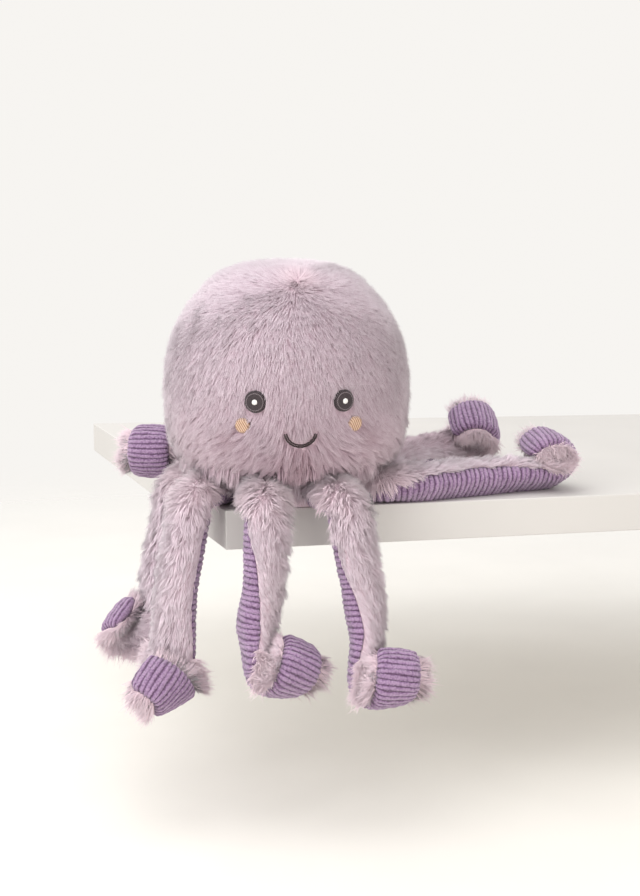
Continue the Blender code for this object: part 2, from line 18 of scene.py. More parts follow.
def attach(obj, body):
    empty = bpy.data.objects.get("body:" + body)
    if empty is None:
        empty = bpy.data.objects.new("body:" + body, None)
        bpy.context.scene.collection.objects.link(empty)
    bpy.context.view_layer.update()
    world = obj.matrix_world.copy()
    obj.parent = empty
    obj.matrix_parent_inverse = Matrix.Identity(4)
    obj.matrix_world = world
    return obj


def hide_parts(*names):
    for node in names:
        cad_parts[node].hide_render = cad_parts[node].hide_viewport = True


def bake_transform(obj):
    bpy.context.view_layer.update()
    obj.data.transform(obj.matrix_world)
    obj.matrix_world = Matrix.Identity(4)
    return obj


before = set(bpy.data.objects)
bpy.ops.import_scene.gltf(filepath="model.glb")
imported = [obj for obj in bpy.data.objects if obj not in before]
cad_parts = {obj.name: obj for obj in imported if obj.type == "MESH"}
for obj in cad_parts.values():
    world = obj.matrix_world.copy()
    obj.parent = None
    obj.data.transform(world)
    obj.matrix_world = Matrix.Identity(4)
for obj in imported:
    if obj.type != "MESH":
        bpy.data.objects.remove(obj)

LOG = logging.getLogger("plush_octopus")
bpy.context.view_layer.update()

Array = np.ndarray
MM = 0.001

# Sizes that the solids share.
GAP = 0.0003
SEAT_CLEARANCE = 0.0002
UNDER_HEAD_CLEARANCE = 0.0005
HEAD_RADIUS = 0.120
HEAD_TOP = 0.235
HEAD_PLY = 0.008
SEAT_RADIUS = 0.057
BASE_PLY = 0.004
BASE_CORNER_HEIGHT = 0.012
ROOT_RADIUS = 0.080
CORE_ROOT_RADIUS = 0.0125
CORE_MIDDLE = (0.0135, 0.0118)
CORE_ROLL = (0.018, 0.0075)
CORE_TIP = (0.0145, 0.0055)
CORDUROY_PLY = 0.003
PILE_PLY = 0.0065
PLY_SIDE = 0.0042
PILE_PLY_ROLL = 0.0035
ROLL_RADIUS = 0.0235
ROLL_TIP_RADIUS = 0.019
ROLL_TURN = math.radians(262)
LEAN_SHARE = 0.7
PATH_REACH = 0.100
EYE_RADIUS = 0.0099
EYE_TURN = math.radians(20.2)
EYE_HEIGHT = 0.109
CHEEK_RADIUS = 0.007
CHEEK_TURN = math.radians(26.6)
CHEEK_HEIGHT = 0.0865
SMILE_RADIUS = 0.0143
SMILE_HALF_ANGLE = math.radians(80)
SMILE_CENTRE_HEIGHT = 0.083

# Where the head's pile parts, and how far an embroidered patch reaches past its solid.
PARTING = (0.004, -0.064, 0.2185)
STITCH_OVERLAP = 0.0003

HEAD_OUTLINE_SHARES = (
    (0.0, 1.0), (0.208, 0.995), (0.417, 0.972), (0.575, 0.927), (0.717, 0.842), (0.808, 0.774),
    (0.871, 0.714), (0.929, 0.638), (0.967, 0.563), (0.996, 0.448), (1.0, 0.362), (0.992, 0.272),
    (0.967, 0.192), (0.917, 0.111), (0.842, 0.049), (0.742, 0.009), (0.625, 0.0),
)

TENTACLE_TURNS = {
    "tentacle_front_left": -22.5,
    "tentacle_front_right": 22.5,
    "tentacle_right_front": 67.5,
    "tentacle_right_back": 112.5,
    "tentacle_back_right": 157.5,
    "tentacle_back_left": -157.5,
    "tentacle_left_back": -112.5,
    "tentacle_left_front": -67.5,
}

# Points of each middle line in shares of PATH_REACH, and the direction that the pile side faces there.
PATH_SHARES = {
    "tentacle_front_left": (
        (-0.312, -0.917, 0.0, 0.0, 0.0, 1.0),
        (-0.330, -1.086, -0.09, 0.22, -0.63, 0.74),
        (-0.334, -1.156, -0.28, 0.50, -0.83, 0.25),
        (-0.341, -1.176, -0.520, 0.85, -0.52, 0.00),
        (-0.368, -1.174, -0.860, 0.98, -0.18, 0.00),
        (-0.425, -1.185, -1.170, 0.98, 0.16, 0.00),
        (-0.445, -1.218, -1.480, 0.98, 0.02, -0.05),
    ),
    "tentacle_front_right": (
        (0.375, -0.907, 0.0, 0.0, 0.0, 1.0),
        (0.436, -1.056, -0.09, 0.32, -0.59, 0.74),
        (0.468, -1.121, -0.28, 0.44, -0.86, 0.25),
        (0.505, -1.146, -0.520, 0.55, -0.83, 0.00),
        (0.573, -1.165, -0.860, 0.86, -0.51, 0.00),
        (0.600, -1.198, -1.220, 0.98, -0.18, 0.00),
        (0.545, -1.245, -1.605, 0.97, -0.24, 0.05),
    ),
    "tentacle_right_front": (
        (0.909, -0.377, 0.0, 0.0, 0.0, 1.0),
        (1.261, -0.378, 0.0, 0.09, 0.70, 0.71),
        (1.642, -0.246, 0.008, 0.10, 0.79, 0.60),
        (2.022, -0.115, 0.008, 0.10, 0.78, 0.62),
        (2.380, -0.010, -0.004, 0.07, 0.64, 0.77),
        (2.675, 0.050, -0.020, 0.0, 0.48, 0.87),
    ),
    "tentacle_right_back": (
        (0.907, 0.375, 0.0, 0.0, 0.0, 1.0),
        (1.119, 0.760, 0.0, 0.0, 0.0, 1.0),
        (1.335, 1.176, 0.0, 0.0, 0.0, 1.0),
        (1.630, 1.581, 0.0, 0.0, 0.0, 1.0),
        (1.968, 1.849, 0.02, -0.04, -0.30, 0.95),
        (2.284, 1.949, 0.05, -0.005, -0.588, 0.809),
    ),
    "tentacle_back_right": (
        (0.372, 0.909, 0.0, 0.0, 0.0, 1.0),
        (0.540, 1.341, 0.0, 0.0, 0.0, 1.0),
        (0.741, 1.799, 0.0, 0.0, 0.0, 1.0),
        (0.883, 2.264, 0.0, 0.0, 0.0, 1.0),
        (0.906, 2.665, -0.015, 0.0, 0.0, 1.0),
        (0.852, 2.944, -0.048, 0.0, 0.0, 1.0),
    ),
    "tentacle_back_left": (
        (-0.375, 0.907, 0.0, 0.0, 0.0, 1.0),
        (-0.506, 1.216, 0.0, 0.0, 0.0, 1.0),
        (-0.681, 1.572, 0.0, 0.0, 0.0, 1.0),
        (-0.92, 1.800, 0.0, 0.0, 0.0, 1.0),
        (-1.18, 1.676, -0.02, 0.0, 0.0, 1.0),
        (-1.285, 1.340, -0.048, 0.0, 0.0, 1.0),
    ),
    "tentacle_left_back": (
        (-0.889, 0.369, 0.0, 0.0, 0.0, 1.0),
        (-1.044, 0.420, -0.08, -0.71, -0.11, 0.69),
        (-1.114, 0.429, -0.28, -0.94, -0.28, 0.20),
        (-1.157, 0.404, -0.540, -0.92, -0.39, 0.00),
        (-1.237, 0.334, -0.860, -0.94, -0.34, 0.00),
        (-1.282, 0.283, -1.150, -0.97, -0.23, 0.00),
        (-1.295, 0.260, -1.450, -0.98, -0.19, 0.10),
    ),
    "tentacle_left_front": (
        (-0.855, -0.442, 0.0, 0.0, 0.0, 1.0),
        (-0.960, -0.549, -0.09, -0.51, -0.43, 0.74),
        (-0.999, -0.615, -0.28, -0.61, -0.75, 0.26),
        (-1.052, -0.638, -0.540, -0.61, -0.79, 0.00),
        (-1.116, -0.660, -0.900, -0.70, -0.71, 0.00),
        (-1.148, -0.676, -1.260, -0.64, -0.77, 0.00),
        (-1.160, -0.670, -1.470, -0.58, -0.81, 0.00),
        (-1.180, -0.640, -1.660, -0.56, -0.83, -0.05),
    ),
}
ROLL_ENTRY_SHARES = {
    "tentacle_front_left": (-0.03, 0.0, -1.0),
    "tentacle_front_right": (0.02, -0.03, -0.999),
    "tentacle_right_front": (0.99, 0.12, 0.0),
    "tentacle_right_back": (1.0, -0.009, 0.003),
    "tentacle_back_right": (-0.174, 0.985, 0.0),
    "tentacle_back_left": (-0.326, -0.945, 0.0),
    "tentacle_left_back": (-0.099, 0.013, -0.995),
    "tentacle_left_front": (-0.02, 0.18, -0.98),
}
ROLL_LEAN_SHARES = {
    "tentacle_right_front": (0.10, -0.95, -0.22),
    "tentacle_front_left": (-0.834, -0.241, 0.497),
    "tentacle_front_right": (-0.985, -0.076, 0.153),
    "tentacle_left_front": (-0.53, -0.576, -0.62),
    "tentacle_left_back": (0.539, 0.637, 0.551),
}
ROLL_SIZE_SHARES = {
    "tentacle_back_left": 0.85,
    "tentacle_right_front": 0.88,
    "tentacle_left_back": 0.93,
}
SWELL_SHARES = ((0.0, 0.0, 0.0), (0.3, 1.0, 0.0), (0.62, 1.0, 0.0), (1.0, 1.0, 1.0))

# The view of the photograph.
LENS = 60.0
SENSOR = 36.0
CAMERA_PLACE = (-0.15917, -1.46185, 0.26662)
CAMERA_TURN = math.radians(-7.5)
CAMERA_TILT = math.radians(8.4)


class Slot(Enum):
    """The material slots of the record."""

    PILE = "pile_fabric"
    CORDUROY = "corduroy_fabric"
    FILLING = "filling"
    EYE = "eye_thread"
    HIGHLIGHT = "highlight_thread"
    CHEEK = "cheek_thread"
    SMILE = "smile_thread"


def unit(vectors: Array) -> Array:
    """The same directions at length one."""
    length = np.linalg.norm(vectors, axis=-1, keepdims=True)
    return vectors / np.maximum(length, 1e-12)


def smooth_step(low: float, high: float, values: Array) -> Array:
    """Nought below low, one above high, and a soft ramp between."""
    share = np.clip((values - low) / (high - low), 0.0, 1.0)
    return share * share * (3 - 2 * share)


def turned(vectors: Array, axes: Array, angles: Array) -> Array:
    """Vectors turned about unit axes, each by its own angle."""
    cos = np.cos(angles)[..., None]
    sin = np.sin(angles)[..., None]
    dot = np.sum(vectors * axes, axis=-1, keepdims=True)
    return vectors * cos + np.cross(axes, vectors) * sin + axes * dot * (1 - cos)


def linear(red: float, green: float, blue: float) -> tuple[float, float, float, float]:
    """A colour that is seen as these 0 to 255 values, as the shader wants it."""
    parts = [v / 255 for v in (red, green, blue)]
    made = [p / 12.92 if p <= 0.04045 else ((p + 0.055) / 1.055) ** 2.4 for p in parts]
    return made[0], made[1], made[2], 1.0


class NodeBoard:
    """Short calls that lay out the nodes of one material."""

    def __init__(self, name: str) -> None:
        self.material = bpy.data.materials.new(name)
        self.material.use_nodes = True
        self.tree = self.material.node_tree
        self.shader = self.tree.nodes["Principled BSDF"]

    def node(self, kind: str, **settings: object) -> bpy.types.Node:
        """A new node with these settings.

        Args:
            kind: Blender's name of the node type.
            settings: properties of the node.

        Returns:
            The new node.
        """
        made = self.tree.nodes.new(kind)
        for key, value in settings.items():
            setattr(made, key, value)
        return made

    def link(self, source: bpy.types.NodeSocket, target: bpy.types.NodeSocket) -> None:
        """Joins two sockets."""
        self.tree.links.new(source, target)

    def fact(self, name: str) -> bpy.types.Node:
        """A node that reads one attribute of the mesh."""
        return self.node("ShaderNodeAttribute", attribute_name=name)

    def ramp(self, source: bpy.types.NodeSocket, stops: Sequence[tuple]) -> bpy.types.NodeSocket:
        """A colour ramp over a value.

        Args:
            source: the socket that gives the value.
            stops: pairs of a position and a colour.

        Returns:
            The ramp's colour socket.
        """
        made = self.node("ShaderNodeValToRGB")
        marks = made.color_ramp.elements
        while len(marks) < len(stops):
            marks.new(0.5)
        for mark, (place, colour) in zip(marks, stops):
            mark.position = place
            mark.color = colour
        self.link(source, made.inputs["Fac"])
        return made.outputs["Color"]

    def math(self, operation: str, first: object, second: object) -> bpy.types.NodeSocket:
        """The result of a sum on two values, each a socket or a number."""
        made = self.node("ShaderNodeMath", operation=operation)
        for socket, value in zip(made.inputs, (first, second)):
            if isinstance(value, (int, float)):
                socket.default_value = value
            else:
                self.link(value, socket)
        return made.outputs[0]

    def blend(self, share: object, first: object, second: object, kind: str = "MIX") -> bpy.types.NodeSocket:
        """Two colours blended by a share.

        Args:
            share: a socket or a number from 0 to 1.
            first: a colour or a socket.
            second: a colour or a socket.
            kind: Blender's name of the blending mode.

        Returns:
            The blended colour's socket.
        """
        made = self.node("ShaderNodeMix", data_type="RGBA", blend_type=kind)
        sockets = [s for s in made.inputs if s.type == "RGBA"]
        targets = (made.inputs[0], sockets[0], sockets[1])
        for socket, value in zip(targets, (share, first, second)):
            if isinstance(value, bpy.types.NodeSocket):
                self.link(value, socket)
            else:
                socket.default_value = value
        return next(s for s in made.outputs if s.type == "RGBA")

    def noise(self, vector: bpy.types.NodeSocket, scale: float, detail: float) -> bpy.types.NodeSocket:
        """Soft noise over a vector, from 0 to 1."""
        made = self.node("ShaderNodeTexNoise")
        made.inputs["Scale"].default_value = scale
        made.inputs["Detail"].default_value = detail
        self.link(vector, made.inputs["Vector"])
        return made.outputs["Fac"]

    def bump(self, height: bpy.types.NodeSocket, distance: float, strength: float) -> None:
        """Puts a bump of this depth on the shader."""
        made = self.node("ShaderNodeBump")
        made.inputs["Distance"].default_value = distance
        made.inputs["Strength"].default_value = strength
        self.link(height, made.inputs["Height"])
        self.link(made.outputs["Normal"], self.shader.inputs["Normal"])

    def set(self, **values: object) -> None:
        """Sets shader sockets, named with underscores for spaces."""
        for key, value in values.items():
            self.shader.inputs[key.replace("_", " ")].default_value = value


@dataclass(frozen=True)
class PileFinish:
    """Fibres of long-pile fabric: darker at the root as painted shade, pale at the tip, with painted shade and
    painted light blended in fibre by fibre, and each a little unlike the next.
    """

    name: str
    root: tuple
    middle: tuple
    tip: tuple
    painted_shade: tuple
    pale: tuple
    roughness: float = 0.75
    sheen: float = 0.5

    def material(self) -> bpy.types.Material:
        """The finish as a material."""
        board = NodeBoard(self.name)
        shade = board.fact("shade").outputs["Fac"]
        tone = board.fact("tone").outputs["Fac"]
        painted_shade = board.fact("painted_shade").outputs["Fac"]
        # Painted shade and painted light: a fibre's value above 0 blends it toward a darker pink as painted
        # shade, below 0 toward the pale colour as painted light.
        pale = board.math("MULTIPLY", board.math("MINIMUM", painted_shade, 0.0), -1.0)
        painted_shade = board.math("MAXIMUM", painted_shade, 0.0)
        # Darker at the root: painted shade deep in the pile.
        colour = board.ramp(shade, ((0.0, self.root), (0.45, self.middle), (1.0, self.tip)))
        colour = board.blend(painted_shade, colour, self.painted_shade)
        colour = board.blend(pale, colour, self.pale)
        greys = ((0.0, (0.84, 0.80, 0.82, 1)), (0.5, (0.96, 0.95, 0.955, 1)), (1.0, (1.0, 1.0, 1.0, 1)))
        grey = board.ramp(tone, greys)
        colour = board.blend(1.0, colour, grey, "MULTIPLY")
        board.link(colour, board.shader.inputs["Base Color"])
        where = board.node("ShaderNodeTexCoord").outputs["Object"]
        board.bump(board.noise(where, 1800.0, 2.0), 0.0002, 0.35)
        board.set(Roughness=self.roughness, Specular_IOR_Level=0.25)
        board.set(Sheen_Weight=self.sheen, Sheen_Roughness=0.45)
        return board.material


@dataclass(frozen=True)
class BackingFinish:
    """The knitted cloth that the pile is rooted in."""

    name: str
    dark: tuple
    pale: tuple

    def material(self) -> bpy.types.Material:
        """The finish as a material."""
        board = NodeBoard(self.name)
        where = board.node("ShaderNodeTexCoord").outputs["Object"]
        colour = board.ramp(board.noise(where, 420.0, 3.0), ((0.3, self.dark), (0.7, self.pale)))
        board.link(colour, board.shader.inputs["Base Color"])
        cells = board.node("ShaderNodeTexVoronoi")
        cells.inputs["Scale"].default_value = 900.0
        board.link(where, cells.inputs["Vector"])
        board.bump(cells.outputs["Distance"], 0.0005, 0.6)
        board.set(Roughness=0.95, Sheen_Weight=0.2, Specular_IOR_Level=0.15)
        return board.material


@dataclass(frozen=True)
class CorduroyFinish:
    """Cut cord: rounded wales with a nubbed nap, darker in the grooves as painted shade and paler on the crests
    as a painted highlight.
    """

    name: str
    groove_shade: tuple
    flank: tuple
    crest_highlight: tuple

    def material(self) -> bpy.types.Material:
        """The finish as a material."""
        board = NodeBoard(self.name)
        height = board.fact("wale").outputs["Fac"]
        tone = board.fact("tone").outputs["Fac"]
        where = board.node("ShaderNodeTexCoord").outputs["Object"]
        fine = board.noise(where, 1400.0, 2.0)
        coarse = board.noise(where, 380.0, 3.0)
        # The wale height gives painted shade in the grooves and a painted highlight on the crests; noise and
        # nubs add the nap's own tone.
        relief_shade_and_tone = board.math("ADD", height, board.math("MULTIPLY", board.math("SUBTRACT", coarse, 0.5), 0.55))
        relief_shade_and_tone = board.math("ADD", relief_shade_and_tone, board.math("MULTIPLY", board.math("SUBTRACT", fine, 0.5), 0.5))
        nubs = board.node("ShaderNodeTexVoronoi")
        nubs.inputs["Scale"].default_value = 520.0
        board.link(where, nubs.inputs["Vector"])
        relief_shade_and_tone = board.math("SUBTRACT", relief_shade_and_tone, board.math("MULTIPLY", nubs.outputs["Distance"], 0.8))
        relief_shade_and_tone = board.math("ADD", relief_shade_and_tone, 0.32)
        colour = board.ramp(relief_shade_and_tone, ((0.05, self.groove_shade), (0.5, self.flank), (0.95, self.crest_highlight)))
        grey = board.ramp(tone, ((0.0, (0.82, 0.8, 0.82, 1)), (0.5, (1, 1, 1, 1)), (1.0, (1.1, 1.1, 1.1, 1))))
        colour = board.blend(1.0, colour, grey, "MULTIPLY")
        board.link(colour, board.shader.inputs["Base Color"])
        nap = board.math("ADD", board.math("MULTIPLY", nubs.outputs["Distance"], -0.9), fine)
        board.bump(nap, 0.0012, 0.9)
        board.set(Roughness=0.9, Sheen_Weight=0.45, Sheen_Roughness=0.5, Specular_IOR_Level=0.2)
        return board.material


@dataclass(frozen=True)
class ThreadFinish:
    """Rows of embroidery thread with a soft shine, darker between the rows as painted shade."""

    name: str
    thread: tuple
    between: tuple
    pitch: float
    roughness: float = 0.5

    def material(self) -> bpy.types.Material:
        """The finish as a material."""
        board = NodeBoard(self.name)
        height = board.fact("ridge").outputs["Fac"]
        where = board.node("ShaderNodeTexCoord").outputs["Object"]
        fine = board.noise(where, 2600.0, 2.0)
        knots = board.noise(where, 950.0, 3.0)
        mixed = board.math("ADD", height, board.math("MULTIPLY", board.math("SUBTRACT", fine, 0.5), 0.9))
        mixed = board.math("ADD", mixed, board.math("MULTIPLY", board.math("SUBTRACT", knots, 0.5), 1.1))
        # Darker where the ridge is low: painted shade between the thread rows.
        colour = board.ramp(mixed, ((0.1, self.between), (0.75, self.thread)))
        board.link(colour, board.shader.inputs["Base Color"])
        board.bump(fine, 0.0003, 0.5)
        board.set(Roughness=self.roughness, Sheen_Weight=0.15, Specular_IOR_Level=0.45)
        return board.material


@dataclass(frozen=True)
class FillingFinish:
    """Loose white fibre filling."""

    name: str
    low: tuple
    high: tuple

    def material(self) -> bpy.types.Material:
        """The finish as a material."""
        board = NodeBoard(self.name)
        where = board.node("ShaderNodeTexCoord").outputs["Object"]
        fibres = board.noise(where, 260.0, 6.0)
        colour = board.ramp(fibres, ((0.25, self.low), (0.75, self.high)))
        board.link(colour, board.shader.inputs["Base Color"])
        board.bump(fibres, 0.002, 0.6)
        board.set(Roughness=0.95, Sheen_Weight=0.3, Specular_IOR_Level=0.2)
        return board.material


@dataclass(frozen=True)
class PaintFinish:
    """Smooth pale paint of the ledge and the floor."""

    name: str
    colour: tuple
    shade: tuple
    fade: tuple[float, float] | None = None

    def material(self) -> bpy.types.Material:
        """The finish as a material, clear beyond the fade's reach."""
        board = NodeBoard(self.name)
        where = board.node("ShaderNodeTexCoord").outputs["Object"]
        cloud = board.noise(where, 6.0, 2.0)
        colour = board.ramp(cloud, ((0.3, self.shade), (0.7, self.colour)))
        board.link(colour, board.shader.inputs["Base Color"])
        board.set(Roughness=0.6, Specular_IOR_Level=0.3)
        if self.fade:
            reach = board.node("ShaderNodeVectorMath", operation="LENGTH")
            board.link(where, reach.inputs[0])
            share = board.node("ShaderNodeMapRange", interpolation_type="SMOOTHSTEP")
            share.inputs["From Min"].default_value = self.fade[0]
            share.inputs["From Max"].default_value = self.fade[1]
            share.inputs["To Min"].default_value = 1.0
            share.inputs["To Max"].default_value = 0.0
            board.link(reach.outputs["Value"], share.inputs["Value"])
            board.link(share.outputs["Result"], board.shader.inputs["Alpha"])
        return board.material


PILE = PileFinish(
    "pile_fibre",
    root=linear(212, 186, 199),
    middle=linear(233, 212, 223),
    tip=linear(249, 236, 244),
    # The darker pink is painted shade, and the pale colour is painted light.
    painted_shade=linear(178, 142, 155),
    pale=linear(255, 230, 237),
)
BACKING = BackingFinish("pile_backing", linear(200, 172, 184), linear(222, 198, 208))
# Corduroy: the groove colour is painted shade, the crest colour a painted highlight.
CORDUROY = CorduroyFinish("corduroy_nap", linear(98, 68, 100), linear(140, 110, 146), linear(176, 146, 180))
# The second colour of each thread is painted shade between its rows.
EYE_THREAD = ThreadFinish("eye_thread", linear(70, 58, 62), linear(16, 10, 14), 0.0006, 0.7)
EYE_RING = ThreadFinish("eye_ring_thread", linear(142, 130, 134), linear(58, 48, 52), 0.0006, 0.7)
WHITE_THREAD = ThreadFinish("highlight_thread", linear(248, 247, 244), linear(205, 202, 198), 0.0005, 0.4)
CHEEK_THREAD = ThreadFinish("cheek_thread", linear(214, 184, 158), linear(150, 110, 86), 0.0009, 0.6)
SMILE_THREAD = ThreadFinish("smile_thread", linear(54, 34, 36), linear(16, 8, 10), 0.0006)
FILLING = FillingFinish("fibre_filling", linear(205, 203, 198), linear(240, 239, 236))
LEDGE_PAINT = PaintFinish("ledge_paint", linear(210, 207, 203), linear(206, 203, 199))
FLOOR_PAINT = PaintFinish("floor_paint", linear(240, 237, 231), linear(236, 233, 227), (0.5, 2.4))


def publish(mesh: bpy.types.Mesh, name: str, finish: bpy.types.Material) -> bpy.types.Object:
    """An object in the scene for a finished mesh."""
    made = bpy.data.objects.new(name, mesh)
    bpy.context.scene.collection.objects.link(made)
    mesh.materials.append(finish)
    return made


def close_and_smooth(mesh: bpy.types.Mesh, weld: float = 1e-6) -> None:
    """Welds a laid grid's seam, closes its open ends, and turns its faces outward."""
    work = bmesh.new()
    work.from_mesh(mesh)
    bmesh.ops.remove_doubles(work, verts=work.verts, dist=weld)
    open_edges = [e for e in work.edges if e.is_boundary]
    if open_edges:
        bmesh.ops.holes_fill(work, edges=open_edges, sides=0)
    bmesh.ops.recalc_face_normals(work, faces=work.faces)
    for face in work.faces:
        face.smooth = True
    work.to_mesh(mesh)
    work.free()


def laid_grid(name: str, points: Array, facts: dict[str, Array]) -> bpy.types.Mesh:
    """A grid of quads laid onto rows of points, then welded and closed.

    Args:
        name: name of the new mesh.
        points: rows x columns x 3; a closed section repeats its first column at the end.
        facts: values for each point, kept as attributes.

    Returns:
        The finished mesh.
    """
    rows, columns, _ = points.shape
    work = bmesh.new()
    bmesh.ops.create_grid(work, x_segments=columns - 1, y_segments=rows - 1, size=0.5)
    mesh = bpy.data.meshes.new(name)
    work.to_mesh(mesh)
    work.free()
    mesh.vertices.foreach_set("co", points.reshape(-1).astype(np.float32))
    for key, values in facts.items():
        layer = mesh.attributes.new(key, "FLOAT", "POINT")
        layer.data.foreach_set("value", values.reshape(-1).astype(np.float32))
    close_and_smooth(mesh)
    return mesh


class FibrePattern:
    """One tapered three-sided fibre, straight or with a bend, from which a pile is repeated."""

    def __init__(self, bends: bool) -> None:
        work = bmesh.new()
        bmesh.ops.create_cone(
            work, cap_ends=True, segments=3, radius1=1.0, radius2=0.0, depth=1.0,
            matrix=Matrix.Translation((0.0, 0.0, 0.5)),
        )
        bmesh.ops.remove_doubles(work, verts=work.verts, dist=1e-4)
        if bends:
            everything = work.verts[:] + work.edges[:] + work.faces[:]
            bmesh.ops.bisect_plane(work, geom=everything, plane_co=(0, 0, 0.42), plane_no=(0, 0, 1))
        bmesh.ops.recalc_face_normals(work, faces=work.faces)
        work.verts.ensure_lookup_table()
        self.places = np.array([v.co for v in work.verts])
        self.corners = np.array([v.index for f in work.faces for v in f.verts])
        self.counts = np.array([len(f.verts) for f in work.faces])
        work.free()
        middle = (self.places[:, 2] > 0.1) & (self.places[:, 2] < 0.9)
        spread = np.linalg.norm(self.places[middle, :2], axis=1, keepdims=True)
        self.places[middle, :2] *= 0.85 / np.maximum(spread, 1e-9)


@dataclass
class Fibres:
    """Bent fibres as arrays: where each starts, bends and ends, and how it looks."""

    base: Array
    bend: Array
    tip: Array
    facing: Array
    radius: Array
    tone: Array
    painted_shade: Array

    def kept(self, keep: Array) -> "Fibres":
        """Only the fibres that keep marks."""
        return Fibres(*(getattr(self, f)[keep] for f in self.__dataclass_fields__))

    def straightened(self) -> "Fibres":
        """The same fibres without their bends."""
        middle = (self.base + self.tip) / 2
        return Fibres(self.base, middle, self.tip, self.facing, self.radius, self.tone, self.painted_shade)

    def clumped(self, seed: int, share: float, pull: Array | float) -> "Fibres":
        """Fibres drawn together at their tips, as pile that has lain pressed.

        Args:
            seed: seed of the random choices.
            share: how many clumps there are for each fibre.
            pull: how far each tip goes to its clump's tip, from 0 to 1, for all or for each fibre.

        Returns:
            The drawn fibres.
        """
        rng = np.random.default_rng(seed)
        count = len(self.base)
        leaders = rng.choice(count, max(1, int(count * share)), replace=False)
        tree = KDTree(len(leaders))
        for place, leader in enumerate(leaders):
            tree.insert(self.base[leader], place)
        tree.balance()
        nearest = np.array([tree.find(b)[1] for b in self.base])
        lead = leaders[nearest]
        strength = (pull * rng.uniform(0.45, 1.25, count))[:, None]
        tip = self.tip + (self.tip[lead] - self.tip) * strength
        bend = self.bend + (self.bend[lead] - self.bend) * strength * 0.45
        group = rng.normal(0.0, 0.12, len(leaders))[nearest]
        tone = np.clip(self.tone + group, 0.0, 1.0)
        return Fibres(self.base, bend, tip, self.facing, self.radius, tone, self.painted_shade)

    def mesh(self, name: str, pattern: FibrePattern) -> bpy.types.Mesh:
        """All fibres as one mesh of repeated patterns."""
        count = len(self.base)
        share = pattern.places[:, 2][None, :, None]
        base, bend, tip = (v[:, None, :] for v in (self.base, self.bend, self.tip))
        line = base * (1 - share) ** 2 + 2 * bend * share * (1 - share) + tip * share**2
        along = unit(self.tip - self.base)
        aside = unit(np.cross(along, np.array([0.31, 0.17, 0.93]) + 0.05 * along[:, ::-1]))
        other = np.cross(along, aside)
        flat = pattern.places[:, 0][None, :, None] * aside[:, None, :]
        flat = flat + pattern.places[:, 1][None, :, None] * other[:, None, :]
        points = line + flat * self.radius[:, None, None]
        per = len(pattern.places)
        corners = (pattern.corners[None, :] + per * np.arange(count)[:, None]).reshape(-1)
        starts = np.concatenate(([0], np.cumsum(pattern.counts)[:-1]))
        starts = (starts[None, :] + len(pattern.corners) * np.arange(count)[:, None]).reshape(-1)
        mesh = bpy.data.meshes.new(name)
        mesh.vertices.add(count * per)
        mesh.loops.add(len(corners))
        mesh.polygons.add(len(starts))
        mesh.vertices.foreach_set("co", points.reshape(-1).astype(np.float32))
        mesh.loops.foreach_set("vertex_index", corners.astype(np.int32))
        mesh.polygons.foreach_set("loop_start", starts.astype(np.int32))
        mesh.polygons.foreach_set("use_smooth", np.ones(len(starts), bool))
        facts = {
            "shade": np.broadcast_to(share[..., 0], (count, per)),
            "tone": np.broadcast_to(self.tone[:, None], (count, per)),
            "painted_shade": np.broadcast_to(self.painted_shade[:, None], (count, per)),
        }
        for key, values in facts.items():
            layer = mesh.attributes.new(key, "FLOAT", "POINT")
            layer.data.foreach_set("value", np.ascontiguousarray(values, dtype=np.float32).reshape(-1))
        mesh.update(calc_edges=True)
        around = unit(flat + 0.15 * along[:, None, :])
        lean = unit(0.80 * self.facing[:, None, :] + 0.20 * around)
        mesh.normals_split_custom_set_from_vertices(lean.reshape(-1, 3))
        return mesh


def drift(places: Array, seed: int, reach: float) -> Array:
    """A value that wanders softly between about -1 and 1 over this reach.

    Args:
        places: the points to give a value to.
        seed: seed of the random waves.
        reach: length of the waves.

    Returns:
        One value for each point.
    """
    rng = np.random.default_rng(seed)
    value = np.zeros(len(places))
    for _ in range(6):
        wave = unit(rng.normal(size=3)) * 2 * math.pi / (reach * rng.uniform(0.7, 1.6))
        value += np.sin(places @ wave + rng.uniform(0, 2 * math.pi))
    return value / 3.0


def joined(batches: Sequence[Fibres]) -> Fibres:
    """Several batches of fibres as one."""
    names = Fibres.__dataclass_fields__
    return Fibres(*(np.concatenate([getattr(b, n) for b in batches]) for n in names))


def grow(
    base: Array, normal: Array, lie: Array, length: Array, rise: Array, radius: float,
    rng: np.random.Generator, painted_shade: Array | None = None, droop: Array | float = 0.12,
    facing: Array | None = None,
) -> Fibres:
    """Fibres that stand off a surface and lean over along the way the pile lies.

    Args:
        base: where each fibre is rooted.
        normal: outward directions at the roots.
        lie: directions along the surface that the pile lies in.
        length: length of each fibre.
        rise: angle of each fibre above the surface, in radians.
        radius: mean radius of a fibre at its root.
        rng: the random source.
        painted_shade: how much painted shade darkens each fibre toward a darker pink, from 0 to 1, or below 0
            how much painted light makes it pale.
        droop: how far the tips sink, as a share of the length.
        facing: directions that light the fibres as one soft surface, else the normals; short ones count less.

    Returns:
        The new fibres.
    """
    count = len(base)
    jitter = rng.normal(0.0, 0.16, (count, 3))
    flat = unit(lie + jitter)
    start = unit(normal * np.sin(rise + 0.35)[:, None] + flat * np.cos(rise + 0.35)[:, None])
    end = unit(normal * np.sin(rise - 0.2)[:, None] + flat * np.cos(rise - 0.2)[:, None])
    bend = base + start * (0.5 * length)[:, None]
    tip = bend + end * (0.5 * length)[:, None]
    tip[:, 2] -= droop * length
    bend[:, 2] -= 0.25 * droop * length
    thick = radius * rng.uniform(0.75, 1.25, count)
    tone = np.clip(rng.normal(0.5, 0.13, count), 0.0, 1.0)
    if painted_shade is None:
        painted_shade = np.zeros(count)
    return Fibres(base, bend, tip, normal if facing is None else facing, thick, tone, painted_shade)


